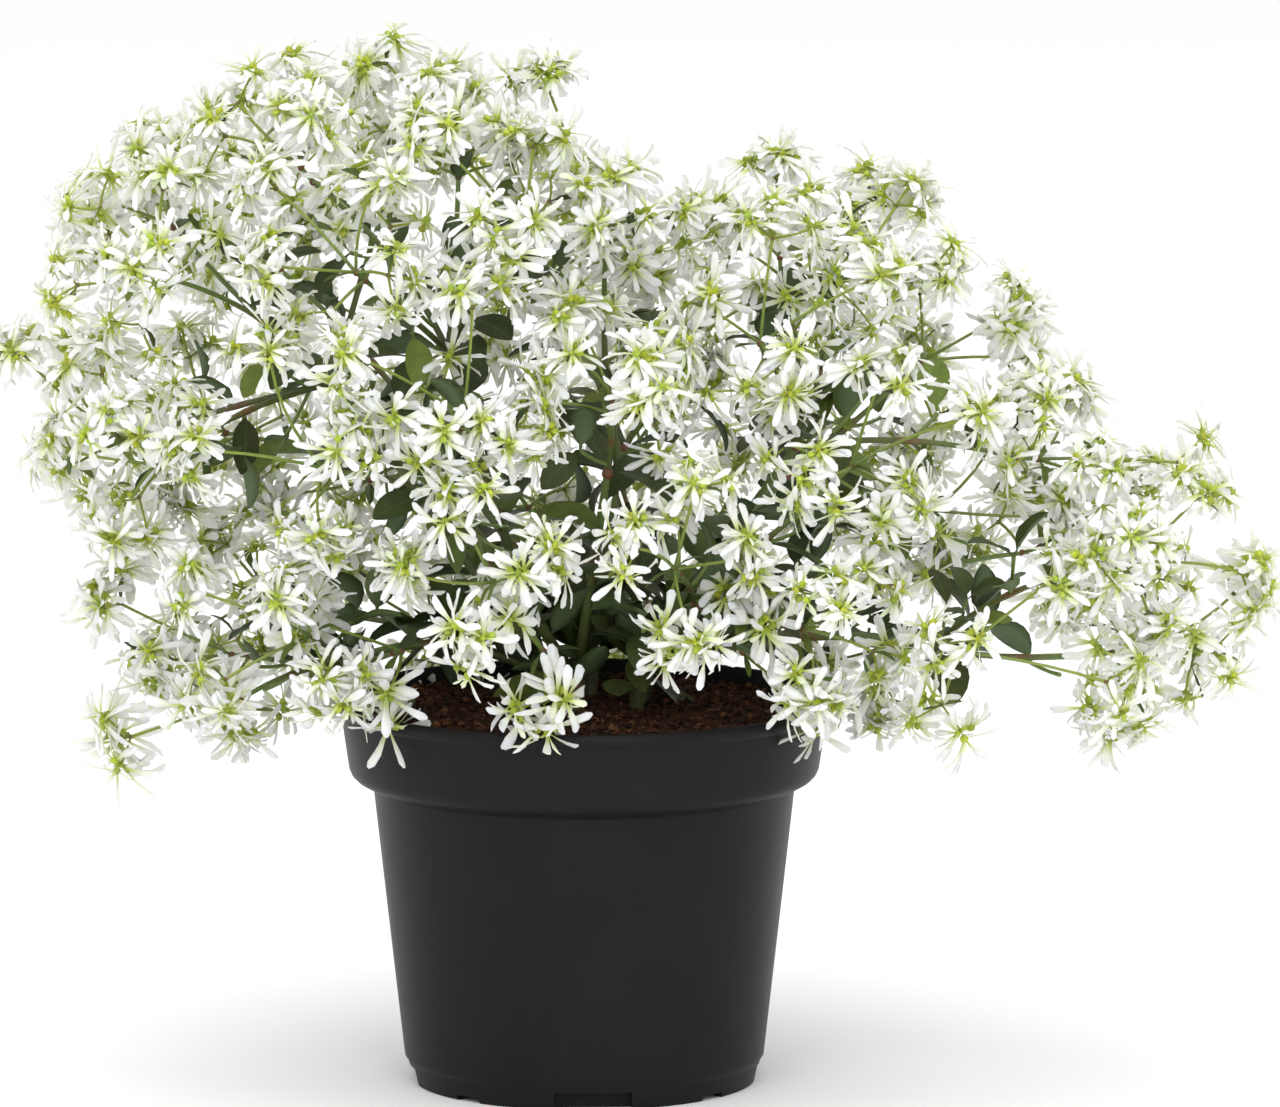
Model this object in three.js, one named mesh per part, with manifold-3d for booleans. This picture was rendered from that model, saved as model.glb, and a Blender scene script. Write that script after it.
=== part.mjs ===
// A potted Euphorbia hypericifolia in flower: a black nursery pot, its potting soil, five rooted
// cuttings that fork into leafy stems, and the airy flower sprays that close round them as a crown.
// Millimetres, +Z up. The origin is on the pot's axis, on the surface that the pot stands on, and
// the plant's front faces -Y. The crown reaches further out to +X than to -X.
import * as THREE from "three";
import { mergeVertices } from "three/addons/utils/BufferGeometryUtils.js";
import Module from "manifold-3d";

const wasm = await Module();
wasm.setup();
const { Manifold, Mesh: SolidMesh } = wasm;

// The pot: a 13 cm nursery container, moulded in one piece with walls of about 1.3 mm.
const RIM_RADIUS = 65;
const POT_HEIGHT = 102;
const POT_SIDES = 28;
const POT_WALL = 1.3;
const FOOT_HEIGHT = 4.7;
const FOOT_INNER_RADIUS = 40.5;
const NOTCH_WIDTH = 20.4;
const SMALL_NOTCH_WIDTH = 7.8;
const SMALL_NOTCH_HEIGHT = 1.4;
const POT_TURN = THREE.MathUtils.degToRad(3.1);
const CENTRE_PIP_RADIUS = 6;
const DRAIN_RADIUS = 3;
const DRAIN_CENTRE_RADIUS = 30;
const POT_OUTSIDE = [
  [44, 0],
  [45, 4.6],
  [46.5, 6.6],
  [54.8, 77.6],
  [59.9, 80.1],
  [61.1, 82.8],
  [63.4, 97],
  [RIM_RADIUS, 100.2],
  [64.4, POT_HEIGHT],
  [63.2, POT_HEIGHT],
];
const POT_INSIDE = [
  [62.3, 99.6],
  [59.9, 83.4],
  [58.6, 81.4],
  [53.9, 79],
  [45.4, 7.6],
  [43.2, POT_WALL],
];
const CHANNEL = { halfTop: 3.65, cornerRadius: 4, length: 100 };

// The soil stands a finger's breadth under the rim, a little higher where the cuttings are.
const SOIL_TOP = 97.4;
const SOIL_MOUND = 2.2;
const SOIL_BUMP = 0.7;
const SOIL_RINGS = [17, 34, 50];
const SOIL_SEED = 11;
const CLEARANCE = 0.3;

// The crown's outline is the union of a few ellipsoids, and directions are measured from its heart.
const HEART = vec(4, 0, 118);
const LOBES = [
  { centre: vec(-63, 0, 199), radii: vec(93, 86, 84) },
  { centre: vec(55, 4, 165), radii: vec(82, 88, 87) },
  { centre: vec(118, -8, 137), radii: vec(70, 66, 48) },
  { centre: vec(-82, 0, 132), radii: vec(60, 72, 44) },
  { centre: vec(2, 0, 142), radii: vec(96, 112, 97) },
];
// How far under the horizon its lowest sprays hang, in degrees, at the back, and how much further
// at the sides and in front.
const LOWEST = { back: 0, sides: 6, front: -20 };
const DIRECTIONS = 1500;
const GOLDEN_ANGLE = Math.PI * (3 - Math.sqrt(5));

// Five cuttings stand in a ring, and each forks into the stems nearest to its own side.
const CUTTINGS = 5;
const CUTTING_RING = 12;
const CUTTING_TURN = 0.5;
const CUTTING_DEPTH = 14;
const TRUNK_RADII = [2.3, 1.9];
const HOLE_RADIUS = 2.82;
const CROTCH_HEIGHT = 107;
const STEMS = 15;
const STEM_REACH = 0.5;
const STEM_LIFT = 12;
const STEM_RADIUS = 1.6;
const KNUCKLE = { low: 1.7, high: 0.8, tall: 2.4 };
const BRANCH_RADIUS = 0.95;

// A spray forks into its cymes, each a whorl of white bracts on its own stalk.
const SPRAYS = 46;
const SPRAY_SEED = 100;
const HEAD_SEED = 1000;
const CYMES = 4;
const CYME_SPREAD = 17.5;
const CYME_INSET = 10;
const CYME_INSET_VARIES = 14;
const CYMES_APART = 23;
const FORK_SETBACK = 15;
const FORK = { low: 1.5, high: 1.3, tall: 2 };
const STALK_RADIUS = 0.9;
const STALK_BELOW_FORK = 5;
const BRACTS = 5;
const BRACT_LENGTH = [11, 14.5];
const BRACT_TIP_WIDTH = 6.4;
const BRACT_THICKNESS = 0.7;
const BRACT_LIFT = [-0.25, 0.75];
const BRACT_TURNS = [
  [0, 0],
  [0.35, 0],
  [-0.3, 0],
  [0.1, 0.2],
  [0.1, -0.2],
];
const HEAD = { low: 0.85, high: 1.9, tall: 2.2 };
// The front is open over the soil, but for a few small sprays that hang over the rim.
const HANGING = [
  [vec(-10, -67, 111), vec(-19, -63, 135)],
  [vec(-52, -46, 112), vec(-69, -42, 127)],
  [vec(60, -44, 108), vec(44, -60, 134)],
  [vec(-117, -14, 96), vec(-99, -24, 108)],
];

// A fork has a side for each thing that grows from it. Their angles round it are in radians.
const NARROWEST_SIDE = 1.05;
const WIDEST_SIDE = 2.6;
const HALF_SIDE = 0.85;

const LEAF_LENGTH = [17, 23];
const LEAF_HALF_WIDTH = 4.9;
const LEAF_THICKNESS = 0.8;
const LEAF_SINK = 0.8;

const BLACK_PLASTIC = { color: 0x1c1c1e, roughness: 0.5, metalness: 0 };
const PEAT = { color: 0x3a2116, roughness: 1, metalness: 0 };
const LEAF_GREEN = { color: 0x35552f, roughness: 0.55, metalness: 0 };
const BRACT_WHITE = { color: 0xf4f6ee, roughness: 0.6, metalness: 0 };

function vec(x, y, z) {
  return new THREE.Vector3(x, y, z);
}

// The same seed always gives the same draws from 0 to 1.
function randomFrom(seed) {
  let state = seed >>> 0;
  return () => {
    state = (state + 0x6d2b79f5) >>> 0;
    let mixed = Math.imul(state ^ (state >>> 15), state | 1);
    mixed ^= mixed + Math.imul(mixed ^ (mixed >>> 7), mixed | 61);
    return ((mixed ^ (mixed >>> 14)) >>> 0) / 4294967296;
  };
}

function between([low, high], share) {
  return low + (high - low) * share;
}

// Two directions across a given one, for rings and whorls round it.
function acrossOf(direction) {
  const helper = Math.abs(direction.z) > 0.9 ? vec(1, 0, 0) : vec(0, 0, 1);
  const side = vec(0, 0, 0).crossVectors(helper, direction).normalize();
  const up = vec(0, 0, 0).crossVectors(direction, side).normalize();
  return [side, up];
}

// Closed solids

function solidFromTriangles(points, triangles) {
  const vertProperties = new Float32Array(points.flatMap((p) => [p.x, p.y, p.z]));
  const make = (triVerts) => new Manifold(new SolidMesh({ numProp: 3, vertProperties, triVerts }));
  const made = make(new Uint32Array(triangles.flat()));
  if (made.volume() > 0) return made;
  return make(new Uint32Array(triangles.map(([a, b, c]) => [a, c, b]).flat()));
}

function solidFromGeometry(geometry) {
  const bare = new THREE.BufferGeometry();
  bare.setAttribute("position", geometry.getAttribute("position"));
  bare.setIndex(geometry.index);
  const merged = mergeVertices(bare, 1e-3);
  const { array } = merged.attributes.position;
  const points = [];
  for (let i = 0; i < array.length; i += 3) points.push(vec(array[i], array[i + 1], array[i + 2]));
  const triangles = [];
  for (let i = 0; i < merged.index.count; i += 3) {
    const corners = [0, 1, 2].map((k) => merged.index.getX(i + k));
    if (new Set(corners).size === 3) triangles.push(corners);
  }
  return solidFromTriangles(points, triangles);
}

// The four corners of a blade's section.
function cornersOf(centre, across, halfWidth, normal, halfThickness) {
  const corner = (s, n) =>
    centre
      .clone()
      .addScaledVector(across, s * halfWidth)
      .addScaledVector(normal, n * halfThickness);
  return [corner(-1, -1), corner(1, -1), corner(1, 1), corner(-1, 1)];
}

// A blade from rings of four corners. Its upper and lower faces are split along the same diagonals,
// so that it never crosses itself where it is bent.
function bladeSolid(rings) {
  const triangles = [];
  for (let i = 0; i + 1 < rings.length; i++) {
    for (let k = 0; k < 4; k++) {
      const [a, b] = [4 * i + k, 4 * i + ((k + 1) % 4)];
      const [c, d] = [a + 4, b + 4];
      if (k === 2) triangles.push([a, b, c], [b, d, c]);
      else triangles.push([a, b, d], [a, d, c]);
    }
  }
  const last = 4 * (rings.length - 1);
  triangles.push([0, 2, 1], [0, 3, 2], [last, last + 1, last + 2], [last, last + 2, last + 3]);
  return solidFromTriangles(rings.flat(), triangles);
}

function ringRound(centre, direction, radius, sides, first = 0) {
  const [side, up] = acrossOf(direction);
  return Array.from({ length: sides }, (_, k) => {
    const angle = first + (k / sides) * 2 * Math.PI;
    return centre
      .clone()
      .addScaledVector(side, Math.cos(angle) * radius)
      .addScaledVector(up, Math.sin(angle) * radius);
  });
}

// A ring that starts beside the first corner of another one, so that a band between them is straight.
function ringBeside(other, centre, direction, radius, sides) {
  const [side, up] = acrossOf(direction);
  const corner = other[0].clone().sub(middleOf(other));
  return ringRound(centre, direction, radius, sides, Math.atan2(corner.dot(up), corner.dot(side)));
}

function middleOf(points) {
  return points.reduce((sum, p) => sum.add(p), vec(0, 0, 0)).divideScalar(points.length);
}

// The rings of a fork: a side for each of the points that it grows towards, with plain sides where
// two of them are far apart.
function forkRings(centre, axis, targets, { low, high, tall }) {
  const [side, up] = acrossOf(axis);
  const full = 2 * Math.PI;
  const facing = targets.map((target, child) => {
    const offset = target.clone().sub(centre);
    return { child, bearing: Math.atan2(offset.dot(up), offset.dot(side)) };
  });
  facing.sort((p, q) => p.bearing - q.bearing);
  const count = facing.length;
  const gapAfter = (k) => {
    const next = facing[(k + 1) % count].bearing + (k + 1 < count ? 0 : full);
    return next - facing[k].bearing;
  };
  for (let pass = 0; pass < 30 && count > 1; pass++) {
    for (let k = 0; k < count; k++) {
      const short = NARROWEST_SIDE - gapAfter(k);
      if (short <= 0) continue;
      facing[k].bearing -= short / 2;
      facing[(k + 1) % count].bearing += short / 2;
    }
  }
  const corners = [];
  const children = [];
  for (let k = 0; k < count; k++) {
    const { child, bearing } = facing[k];
    const gap = gapAfter(k);
    children.push(child);
    if (gap <= WIDEST_SIDE) corners.push(bearing + gap / 2);
    else {
      corners.push(bearing + HALF_SIDE);
      children.push(-1);
      if (count === 1) {
        corners.push(bearing + Math.PI);
        children.push(-1);
      }
      corners.push(bearing + gap - HALF_SIDE);
    }
  }
  // Corner k closes side k, so the rings start one corner earlier.
  const turned = [corners.at(-1), ...corners.slice(0, -1)];
  const ring = (height, radius) =>
    turned.map((angle) =>
      centre
        .clone()
        .addScaledVector(axis, height)
        .addScaledVector(side, Math.cos(angle) * radius)
        .addScaledVector(up, Math.sin(angle) * radius),
    );
  return { children, low: ring(-tall / 2, low), high: ring(tall / 2, high) };
}

// The four corners of a fork's side towards one child.
function sideOf({ children, low, high }, child) {
  const k = children.indexOf(child);
  const next = (k + 1) % low.length;
  return [low[k], low[next], high[next], high[k]];
}

// One closed surface, put together from rings. A point that is used twice is kept once.
class Surface {
  constructor() {
    this.points = [];
    this.triangles = [];
    this.indices = new Map();
  }

  put(ring) {
    return ring.map((p) => {
      if (!this.indices.has(p)) this.indices.set(p, this.points.push(p) - 1);
      return this.indices.get(p);
    });
  }

  // A band of triangles between two rings, which may differ in length.
  band(low, high) {
    const [from, to] = [this.put(low), this.put(high)];
    let [i, j] = [0, 0];
    while (i < from.length || j < to.length) {
      const [a, c] = [from[i % from.length], to[j % to.length]];
      if (j < to.length && (i === from.length || j * from.length <= i * to.length)) {
        j++;
        this.triangles.push([a, to[j % to.length], c]);
      } else {
        i++;
        this.triangles.push([a, from[i % from.length], c]);
      }
    }
  }

  cap(ring) {
    const corners = this.put(ring);
    for (let k = 1; k + 1 < corners.length; k++) {
      this.triangles.push([corners[0], corners[k], corners[k + 1]]);
    }
  }

  tube(rings) {
    for (let i = 0; i + 1 < rings.length; i++) this.band(rings[i], rings[i + 1]);
  }

  // A fork's top, and those of its sides that nothing grows from.
  closeFork({ children, low, high }) {
    children.forEach((child, k) => {
      const next = (k + 1) % low.length;
      if (child < 0) this.cap([low[k], low[next], high[next], high[k]]);
    });
    this.cap(high);
  }

  solid() {
    return solidFromTriangles(this.points, this.triangles);
  }
}

function tubeSolid(rings) {
  const surface = new Surface();
  surface.cap([...rings[0]].reverse());
  surface.tube(rings);
  surface.cap(rings.at(-1));
  return surface.solid();
}

function tapered(path, radii, sides) {
  const rings = path.map((point, i) => {
    const before = path[Math.max(i - 1, 0)];
    const after = path[Math.min(i + 1, path.length - 1)];
    const direction = after.clone().sub(before).normalize();
    return ringRound(point, direction, between(radii, i / (path.length - 1)), sides);
  });
  return tubeSolid(rings);
}

function revolved(profile) {
  const points = profile.map(([r, z]) => new THREE.Vector2(r, z));
  const lathe = new THREE.LatheGeometry(points, POT_SIDES);
  return solidFromGeometry(lathe.rotateX(Math.PI / 2));
}

function box(width, depth, low, high) {
  const shape = new THREE.BoxGeometry(width, depth, high - low);
  return solidFromGeometry(shape.translate(0, 0, (low + high) / 2));
}

function meshOf(name, solid, look) {
  const { numProp, vertProperties, triVerts } = solid.getMesh();
  const count = vertProperties.length / numProp;
  const positions = new Float32Array(count * 3);
  for (let i = 0; i < count; i++) {
    positions.set(vertProperties.subarray(i * numProp, i * numProp + 3), i * 3);
  }
  const geometry = new THREE.BufferGeometry();
  geometry.setAttribute("position", new THREE.BufferAttribute(positions, 3));
  geometry.setIndex(new THREE.BufferAttribute(triVerts, 1));
  const flat = geometry.toNonIndexed();
  flat.computeVertexNormals();
  const mesh = new THREE.Mesh(flat, new THREE.MeshStandardMaterial({ ...look, flatShading: true }));
  mesh.name = name;
  return mesh;
}

// Pot and soil

// The drainage channels' arch, and the same arch grown by the floor's thickness for the inside.
function channelPair(grown) {
  const { halfTop, cornerRadius, length } = CHANNEL;
  const centre = halfTop + cornerRadius;
  const steps = 3;
  const side = [];
  for (let i = 0; i <= steps; i++) {
    const angle = Math.PI + (i / steps) * (Math.PI / 2);
    const x = centre + (cornerRadius - grown) * Math.cos(angle);
    const z = FOOT_HEIGHT + (FOOT_HEIGHT - grown) * Math.sin(angle);
    side.push([x, z]);
  }
  const right = [[side[0][0], FOOT_HEIGHT + grown], ...side, [centre, -1]];
  const left = right.map(([x, z]) => [-x, z]).reverse();
  const outline = [...left, ...right].map(([x, z]) => new THREE.Vector2(x, z));
  const shape = new THREE.Shape(outline.filter((p, i) => i === 0 || !p.equals(outline[i - 1])));
  const bar = new THREE.ExtrudeGeometry(shape, { depth: length, bevelEnabled: false });
  const along = solidFromGeometry(bar.rotateX(Math.PI / 2).translate(0, length / 2, 0));
  return along.add(along.rotate([0, 0, 90]));
}

function roundTheAxis(solid) {
  return Manifold.union([0, 90, 180, 270].map((degrees) => solid.rotate([0, 0, degrees])));
}

// The notches in the foot ring: four deep ones where the channels come out, four shallow between.
function notches(grown) {
  const deepWidth = NOTCH_WIDTH + 2 * grown;
  const smallWidth = SMALL_NOTCH_WIDTH + 2 * grown;
  const depth = RIM_RADIUS;
  const outwards = FOOT_INNER_RADIUS - grown + depth / 2;
  const deep = box(deepWidth, depth, -1, FOOT_HEIGHT + grown).translate([0, -outwards, 0]);
  const small = box(smallWidth, depth, -1, SMALL_NOTCH_HEIGHT + grown)
    .translate([0, -outwards, 0])
    .rotate([0, 0, 45]);
  return roundTheAxis(deep.add(small));
}

// The space inside the pot, over the floor that follows the channels and notches.
function potCavity() {
  const [mouthRadius] = POT_INSIDE[0];
  const mouth = [
    [mouthRadius + 0.6, POT_HEIGHT + 1],
    [0, POT_HEIGHT + 1],
  ];
  const space = revolved([[0, POT_WALL], ...[...POT_INSIDE].reverse(), ...mouth]);
  return space.subtract(channelPair(POT_WALL)).subtract(notches(POT_WALL));
}

function pot() {
  const outside = revolved([[0, 0], ...POT_OUTSIDE, [0, POT_HEIGHT]]);
  const pip = solidFromGeometry(
    new THREE.CylinderGeometry(CENTRE_PIP_RADIUS, CENTRE_PIP_RADIUS, FOOT_HEIGHT + 0.5, 12)
      .rotateX(Math.PI / 2)
      .translate(0, 0, (FOOT_HEIGHT + 0.5) / 2),
  );
  const drain = solidFromGeometry(
    new THREE.CylinderGeometry(DRAIN_RADIUS, DRAIN_RADIUS, 3 * FOOT_HEIGHT, 8)
      .rotateX(Math.PI / 2)
      .translate(0, -DRAIN_CENTRE_RADIUS, FOOT_HEIGHT),
  );
  return outside
    .subtract(channelPair(0))
    .subtract(notches(0))
    .add(pip)
    .subtract(potCavity())
    .subtract(roundTheAxis(drain))
    .rotate([0, 0, THREE.MathUtils.radToDeg(POT_TURN)]);
}

// The pot's inside radius at a height.
function insideRadius(z) {
  const above = POT_INSIDE.findLast(([, height]) => height >= z);
  const below = POT_INSIDE[POT_INSIDE.indexOf(above) + 1];
  return between([below[0], above[0]], (z - below[1]) / (above[1] - below[1]));
}

// A plug with a lumpy top that rises to the cuttings, down to the tops of the drainage channels.
function soil(cuttings) {
  const draw = randomFrom(SOIL_SEED);
  const edge = insideRadius(SOIL_TOP) - CLEARANCE;
  const foot = FOOT_HEIGHT + POT_WALL + CLEARANCE;
  const rings = SOIL_RINGS.map((radius) => {
    return [radius, SOIL_TOP + SOIL_MOUND * (1 - (radius / edge) ** 2), SOIL_BUMP];
  });
  rings.push([edge, SOIL_TOP, SOIL_BUMP / 4]);
  for (const [radius, z] of POT_INSIDE.slice(1, 4)) {
    rings.push([radius - CLEARANCE, z + CLEARANCE, 0]);
  }
  rings.push([insideRadius(foot) - CLEARANCE, foot, 0]);
  const points = [vec(0, 0, SOIL_TOP + SOIL_MOUND)];
  for (const [radius, z, bump] of rings) {
    for (let k = 0; k < POT_SIDES; k++) {
      const angle = (k / POT_SIDES) * 2 * Math.PI;
      const lump = bump * (2 * draw() - 1);
      points.push(vec(Math.cos(angle) * radius, Math.sin(angle) * radius, z + lump));
    }
  }
  const last = 1 + (rings.length - 1) * POT_SIDES;
  const triangles = [];
  for (let k = 0; k < POT_SIDES; k++) {
    const next = (k + 1) % POT_SIDES;
    triangles.push([0, 1 + k, 1 + next]);
    for (let i = 0; i + 1 < rings.length; i++) {
      const [a, b] = [1 + i * POT_SIDES + k, 1 + i * POT_SIDES + next];
      triangles.push([a, a + POT_SIDES, b + POT_SIDES], [a, b + POT_SIDES, b]);
    }
    if (k > 0 && k + 1 < POT_SIDES) triangles.push([last, last + next, last + k]);
  }
  const holes = cuttings.map(({ bottom, crotch }) => {
    const ends = [bottom.clone().setZ(bottom.z - CLEARANCE), bottom.clone().setZ(crotch.z)];
    return tapered(ends, [HOLE_RADIUS, HOLE_RADIUS], 8);
  });
  return solidFromTriangles(points, triangles)
    .rotate([0, 0, THREE.MathUtils.radToDeg(POT_TURN)])
    .subtract(Manifold.union(holes));
}

// The crown's plan: where each stem forks and where each spray and cyme is

// How far the crown's outline is from its heart in one direction.
function reach(direction) {
  let far = 0;
  for (const { centre, radii } of LOBES) {
    const from = HEART.clone().sub(centre).divide(radii);
    const step = direction.clone().divide(radii);
    const [a, b, c] = [step.dot(step), from.dot(step), from.dot(from) - 1];
    const root = b * b - a * c;
    if (root > 0) far = Math.max(far, (Math.sqrt(root) - b) / a);
  }
  return far;
}

// Directions all over the crown, down to its lowest sprays.
function crownDirections() {
  return Array.from({ length: DIRECTIONS }, (_, i) => {
    const azimuth = i * GOLDEN_ANGLE;
    const sideways = LOWEST.sides * Math.cos(azimuth) ** 2;
    const ahead = LOWEST.front * Math.max(0, -Math.sin(azimuth)) ** 2;
    const lowest = -THREE.MathUtils.degToRad(LOWEST.back + sideways + ahead);
    const rise = 1 - ((i + 0.5) / DIRECTIONS) * (1 - Math.sin(lowest));
    const flat = Math.sqrt(1 - rise * rise);
    return vec(flat * Math.cos(azimuth), flat * Math.sin(azimuth), rise);
  });
}

// Picks directions whose points on the crown are as far from each other as they can be: each one is
// the farthest from those before it.
function spreadOver(directions, count, inset) {
  const points = directions.map((d) => HEART.clone().addScaledVector(d, reach(d) - inset));
  const nearest = points.map(() => Infinity);
  const picked = [];
  let pick = 0;
  while (picked.length < count) {
    picked.push(directions[pick]);
    const from = points[pick];
    points.forEach((p, i) => {
      nearest[i] = Math.min(nearest[i], p.distanceTo(from));
    });
    pick = nearest.indexOf(Math.max(...nearest));
  }
  return picked;
}

function nearestIndex(direction, candidates) {
  const closeness = candidates.map((candidate) => candidate.dot(direction));
  return closeness.indexOf(Math.max(...closeness));
}

function planCuttings() {
  return Array.from({ length: CUTTINGS }, (_, k) => {
    const angle = (k / CUTTINGS) * 2 * Math.PI + CUTTING_TURN;
    const side = vec(Math.cos(angle), Math.sin(angle), 0);
    const foot = vec(HEART.x, HEART.y, 0).addScaledVector(side, CUTTING_RING);
    return {
      side,
      bottom: foot.clone().setZ(SOIL_TOP - CUTTING_DEPTH + CLEARANCE),
      crotch: foot.clone().setZ(CROTCH_HEIGHT).addScaledVector(side, 2),
    };
  });
}

function planStems(cuttings, directions) {
  return spreadOver(directions, STEMS, 0).map((direction) => {
    const level = direction.clone().setZ(0).normalize();
    const cutting = nearestIndex(
      level,
      cuttings.map((c) => c.side),
    );
    const knuckle = HEART.clone().addScaledVector(direction, STEM_REACH * reach(direction));
    const { crotch } = cuttings[cutting];
    const bend = crotch.clone().lerp(knuckle, 0.5);
    bend.z += STEM_LIFT * (1 - direction.z);
    const curve = new THREE.QuadraticBezierCurve3(crotch, bend, knuckle);
    return { direction, cutting, knuckle, curve };
  });
}

// Cymes round each spray's own direction, each set in from the crown's outline, and none too close
// to another.
function planSprays(stems, directions) {
  const upright = spreadOver(directions, SPRAYS - HANGING.length, CYME_INSET);
  const sprays = upright.map((direction, i) => {
    const draw = randomFrom(SPRAY_SEED + i);
    const [side, up] = acrossOf(direction);
    const spread = CYME_SPREAD / (reach(direction) - CYME_INSET);
    const turn = draw() * 2 * Math.PI;
    const cymes = Array.from({ length: CYMES }, (_, j) => {
      const angle = turn + ((j + 0.3 * draw()) / CYMES) * 2 * Math.PI;
      const aim = direction
        .clone()
        .addScaledVector(side, Math.cos(angle) * spread)
        .addScaledVector(up, Math.sin(angle) * spread)
        .normalize();
      const inset = CYME_INSET + CYME_INSET_VARIES * draw();
      return HEART.clone().addScaledVector(aim, reach(aim) - inset);
    });
    return { direction, cymes };
  });
  for (const ends of HANGING) {
    const cymes = ends.map((end) => end.clone());
    sprays.push({ direction: middleOf(cymes).sub(HEART).normalize(), cymes });
  }
  moveApart(sprays.flatMap((s) => s.cymes));
  return sprays.map(({ direction, cymes }) => {
    const fork = middleOf(cymes).addScaledVector(direction, -FORK_SETBACK);
    const stem = nearestIndex(
      direction,
      stems.map((s) => s.direction),
    );
    const along = fork.clone().sub(stems[stem].knuckle).normalize();
    const joint = fork.clone().addScaledVector(along, -STALK_BELOW_FORK);
    return { fork, cymes, stem, along, joint };
  });
}

function moveApart(points) {
  for (let pass = 0; pass < 10; pass++) {
    for (let i = 0; i < points.length; i++) {
      for (let j = 0; j < i; j++) {
        const offset = points[i].clone().sub(points[j]);
        const short = CYMES_APART - offset.length();
        if (short <= 0) continue;
        offset.setLength(short / 2);
        points[i].add(offset);
        points[j].sub(offset);
      }
    }
  }
}

// What has been placed so far, by name, so that later pieces keep clear of it.
class Placed {
  constructor() {
    this.all = [];
  }

  isClear(solid, ignored) {
    const { min, max } = solid.boundingBox();
    return this.all.every((other) => {
      if (other.name.startsWith(ignored)) return true;
      const apart = [0, 1, 2].some(
        (k) => other.min[k] - CLEARANCE > max[k] || other.max[k] + CLEARANCE < min[k],
      );
      return apart || solid.minGap(other.solid, 2 * CLEARANCE) >= CLEARANCE - 0.01;
    });
  }

  add(solid, name) {
    this.all.push({ solid, name, ...solid.boundingBox() });
    return solid;
  }

  addTubes(tubes, name) {
    for (const rings of tubes) this.add(tubeSolid(rings), name);
  }
}

// Leaves

// An elliptic leaf on a short stalk, arched down towards its tip.
function leaf(root, direction, length) {
  const side = vec(0, 0, 0).crossVectors(direction, vec(0, 0, 1)).normalize();
  const normal = vec(0, 0, 0).crossVectors(side, direction);
  const stations = [
    { at: 0, half: 0.6, drop: 0 },
    { at: 0.38, half: 0.92 * LEAF_HALF_WIDTH, drop: 0.01 },
    { at: 0.72, half: LEAF_HALF_WIDTH, drop: 0.08 },
    { at: 1, half: 0.8, drop: 0.24 },
  ];
  const rings = stations.map(({ at, half, drop }) => {
    const centre = root
      .clone()
      .addScaledVector(direction, at * length - LEAF_SINK)
      .addScaledVector(vec(0, 0, -1), drop * length);
    return cornersOf(centre, side, half, normal, LEAF_THICKNESS / 2);
  });
  return bladeSolid(rings);
}

// Leaves stand round a stem at a point, and turn aside or are left out where they would touch.
function leavesRound({ point, along, count, seed }, placed, cutting) {
  const draw = randomFrom(seed);
  const [side, up] = acrossOf(along);
  const leaves = [];
  for (let i = 0; i < count; i++) {
    const length = between(LEAF_LENGTH, draw());
    const first = (i / count + 0.2 * draw()) * 2 * Math.PI;
    for (let turn = 0; turn < 8; turn++) {
      const angle = first + turn * 0.5;
      const direction = along
        .clone()
        .multiplyScalar(0.45)
        .addScaledVector(side, Math.cos(angle))
        .addScaledVector(up, Math.sin(angle));
      direction.z *= 0.6;
      const made = leaf(point, direction.normalize(), length);
      if (placed.isClear(made, cutting + " wood")) {
        leaves.push(placed.add(made, cutting + " leaf"));
        break;
      }
    }
  }
  return leaves;
}

// Flowers

// A spray's fork, and the head on the stalk to each of its cymes.
function sprayPlan({ fork, along, joint, cymes }, seed) {
  const draw = randomFrom(seed);
  const rings = forkRings(fork, along, cymes, FORK);
  const end = joint.clone().addScaledVector(along, CLEARANCE);
  const foot = ringBeside(rings.low, end, along, STALK_RADIUS, 4);
  const heads = cymes.map((centre, j) => headPlan(centre, sideOf(rings, j), draw));
  return { foot, rings, heads };
}

// A head: its two rings, which stand square to its stalk, and the aim of each of its bracts.
function headPlan(centre, side, draw) {
  const axis = centre.clone().sub(middleOf(side)).normalize();
  const under = centre.clone().addScaledVector(axis, -HEAD.tall / 2);
  const over = centre.clone().addScaledVector(axis, HEAD.tall / 2);
  const low = ringBeside(side, under, axis, HEAD.low, BRACTS);
  const high = ringBeside(side, over, axis, HEAD.high, BRACTS);
  const bracts = high.map((corner, k) => {
    const next = (k + 1) % BRACTS;
    return {
      root: [low[k], low[next], high[next], corner],
      level: middleOf([corner, high[next]]).sub(over).normalize(),
      lift: between(BRACT_LIFT, draw()),
      length: between(BRACT_LENGTH, draw()),
    };
  });
  return { centre, axis, side, low, high, bracts };
}

// The four corners of a bract's blunt tip, in the order of its root's corners.
function bractTip({ centre, axis }, { level, lift, length }, twist) {
  const flat = level.clone().applyAxisAngle(axis, twist);
  const across = vec(0, 0, 0).crossVectors(axis, flat);
  const aim = flat.clone().multiplyScalar(Math.cos(lift)).addScaledVector(axis, Math.sin(lift));
  const normal = vec(0, 0, 0).crossVectors(aim, across);
  const middle = centre.clone().addScaledVector(aim, HEAD.high + length);
  const width = BRACT_TIP_WIDTH * Math.min(1, length / BRACT_LENGTH[0]);
  return cornersOf(middle, across, width / 2, normal, BRACT_THICKNESS / 2);
}

// Each bract is as long as it can be while it stays clear of everything but its own head, and it
// turns aside a little for that.
function growBract(head, { root, level, lift, length }, placed, name) {
  for (const share of [1, 0.85, 0.7, 0.55, 0.4, 0.25]) {
    for (const [rise, twist] of BRACT_TURNS) {
      const tip = bractTip(head, { level, lift: lift + rise, length: share * length }, twist);
      const blade = bladeSolid([root, tip]);
      if (placed.isClear(blade, name)) {
        placed.add(blade, name);
        return tip;
      }
    }
  }
  return null;
}

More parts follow.
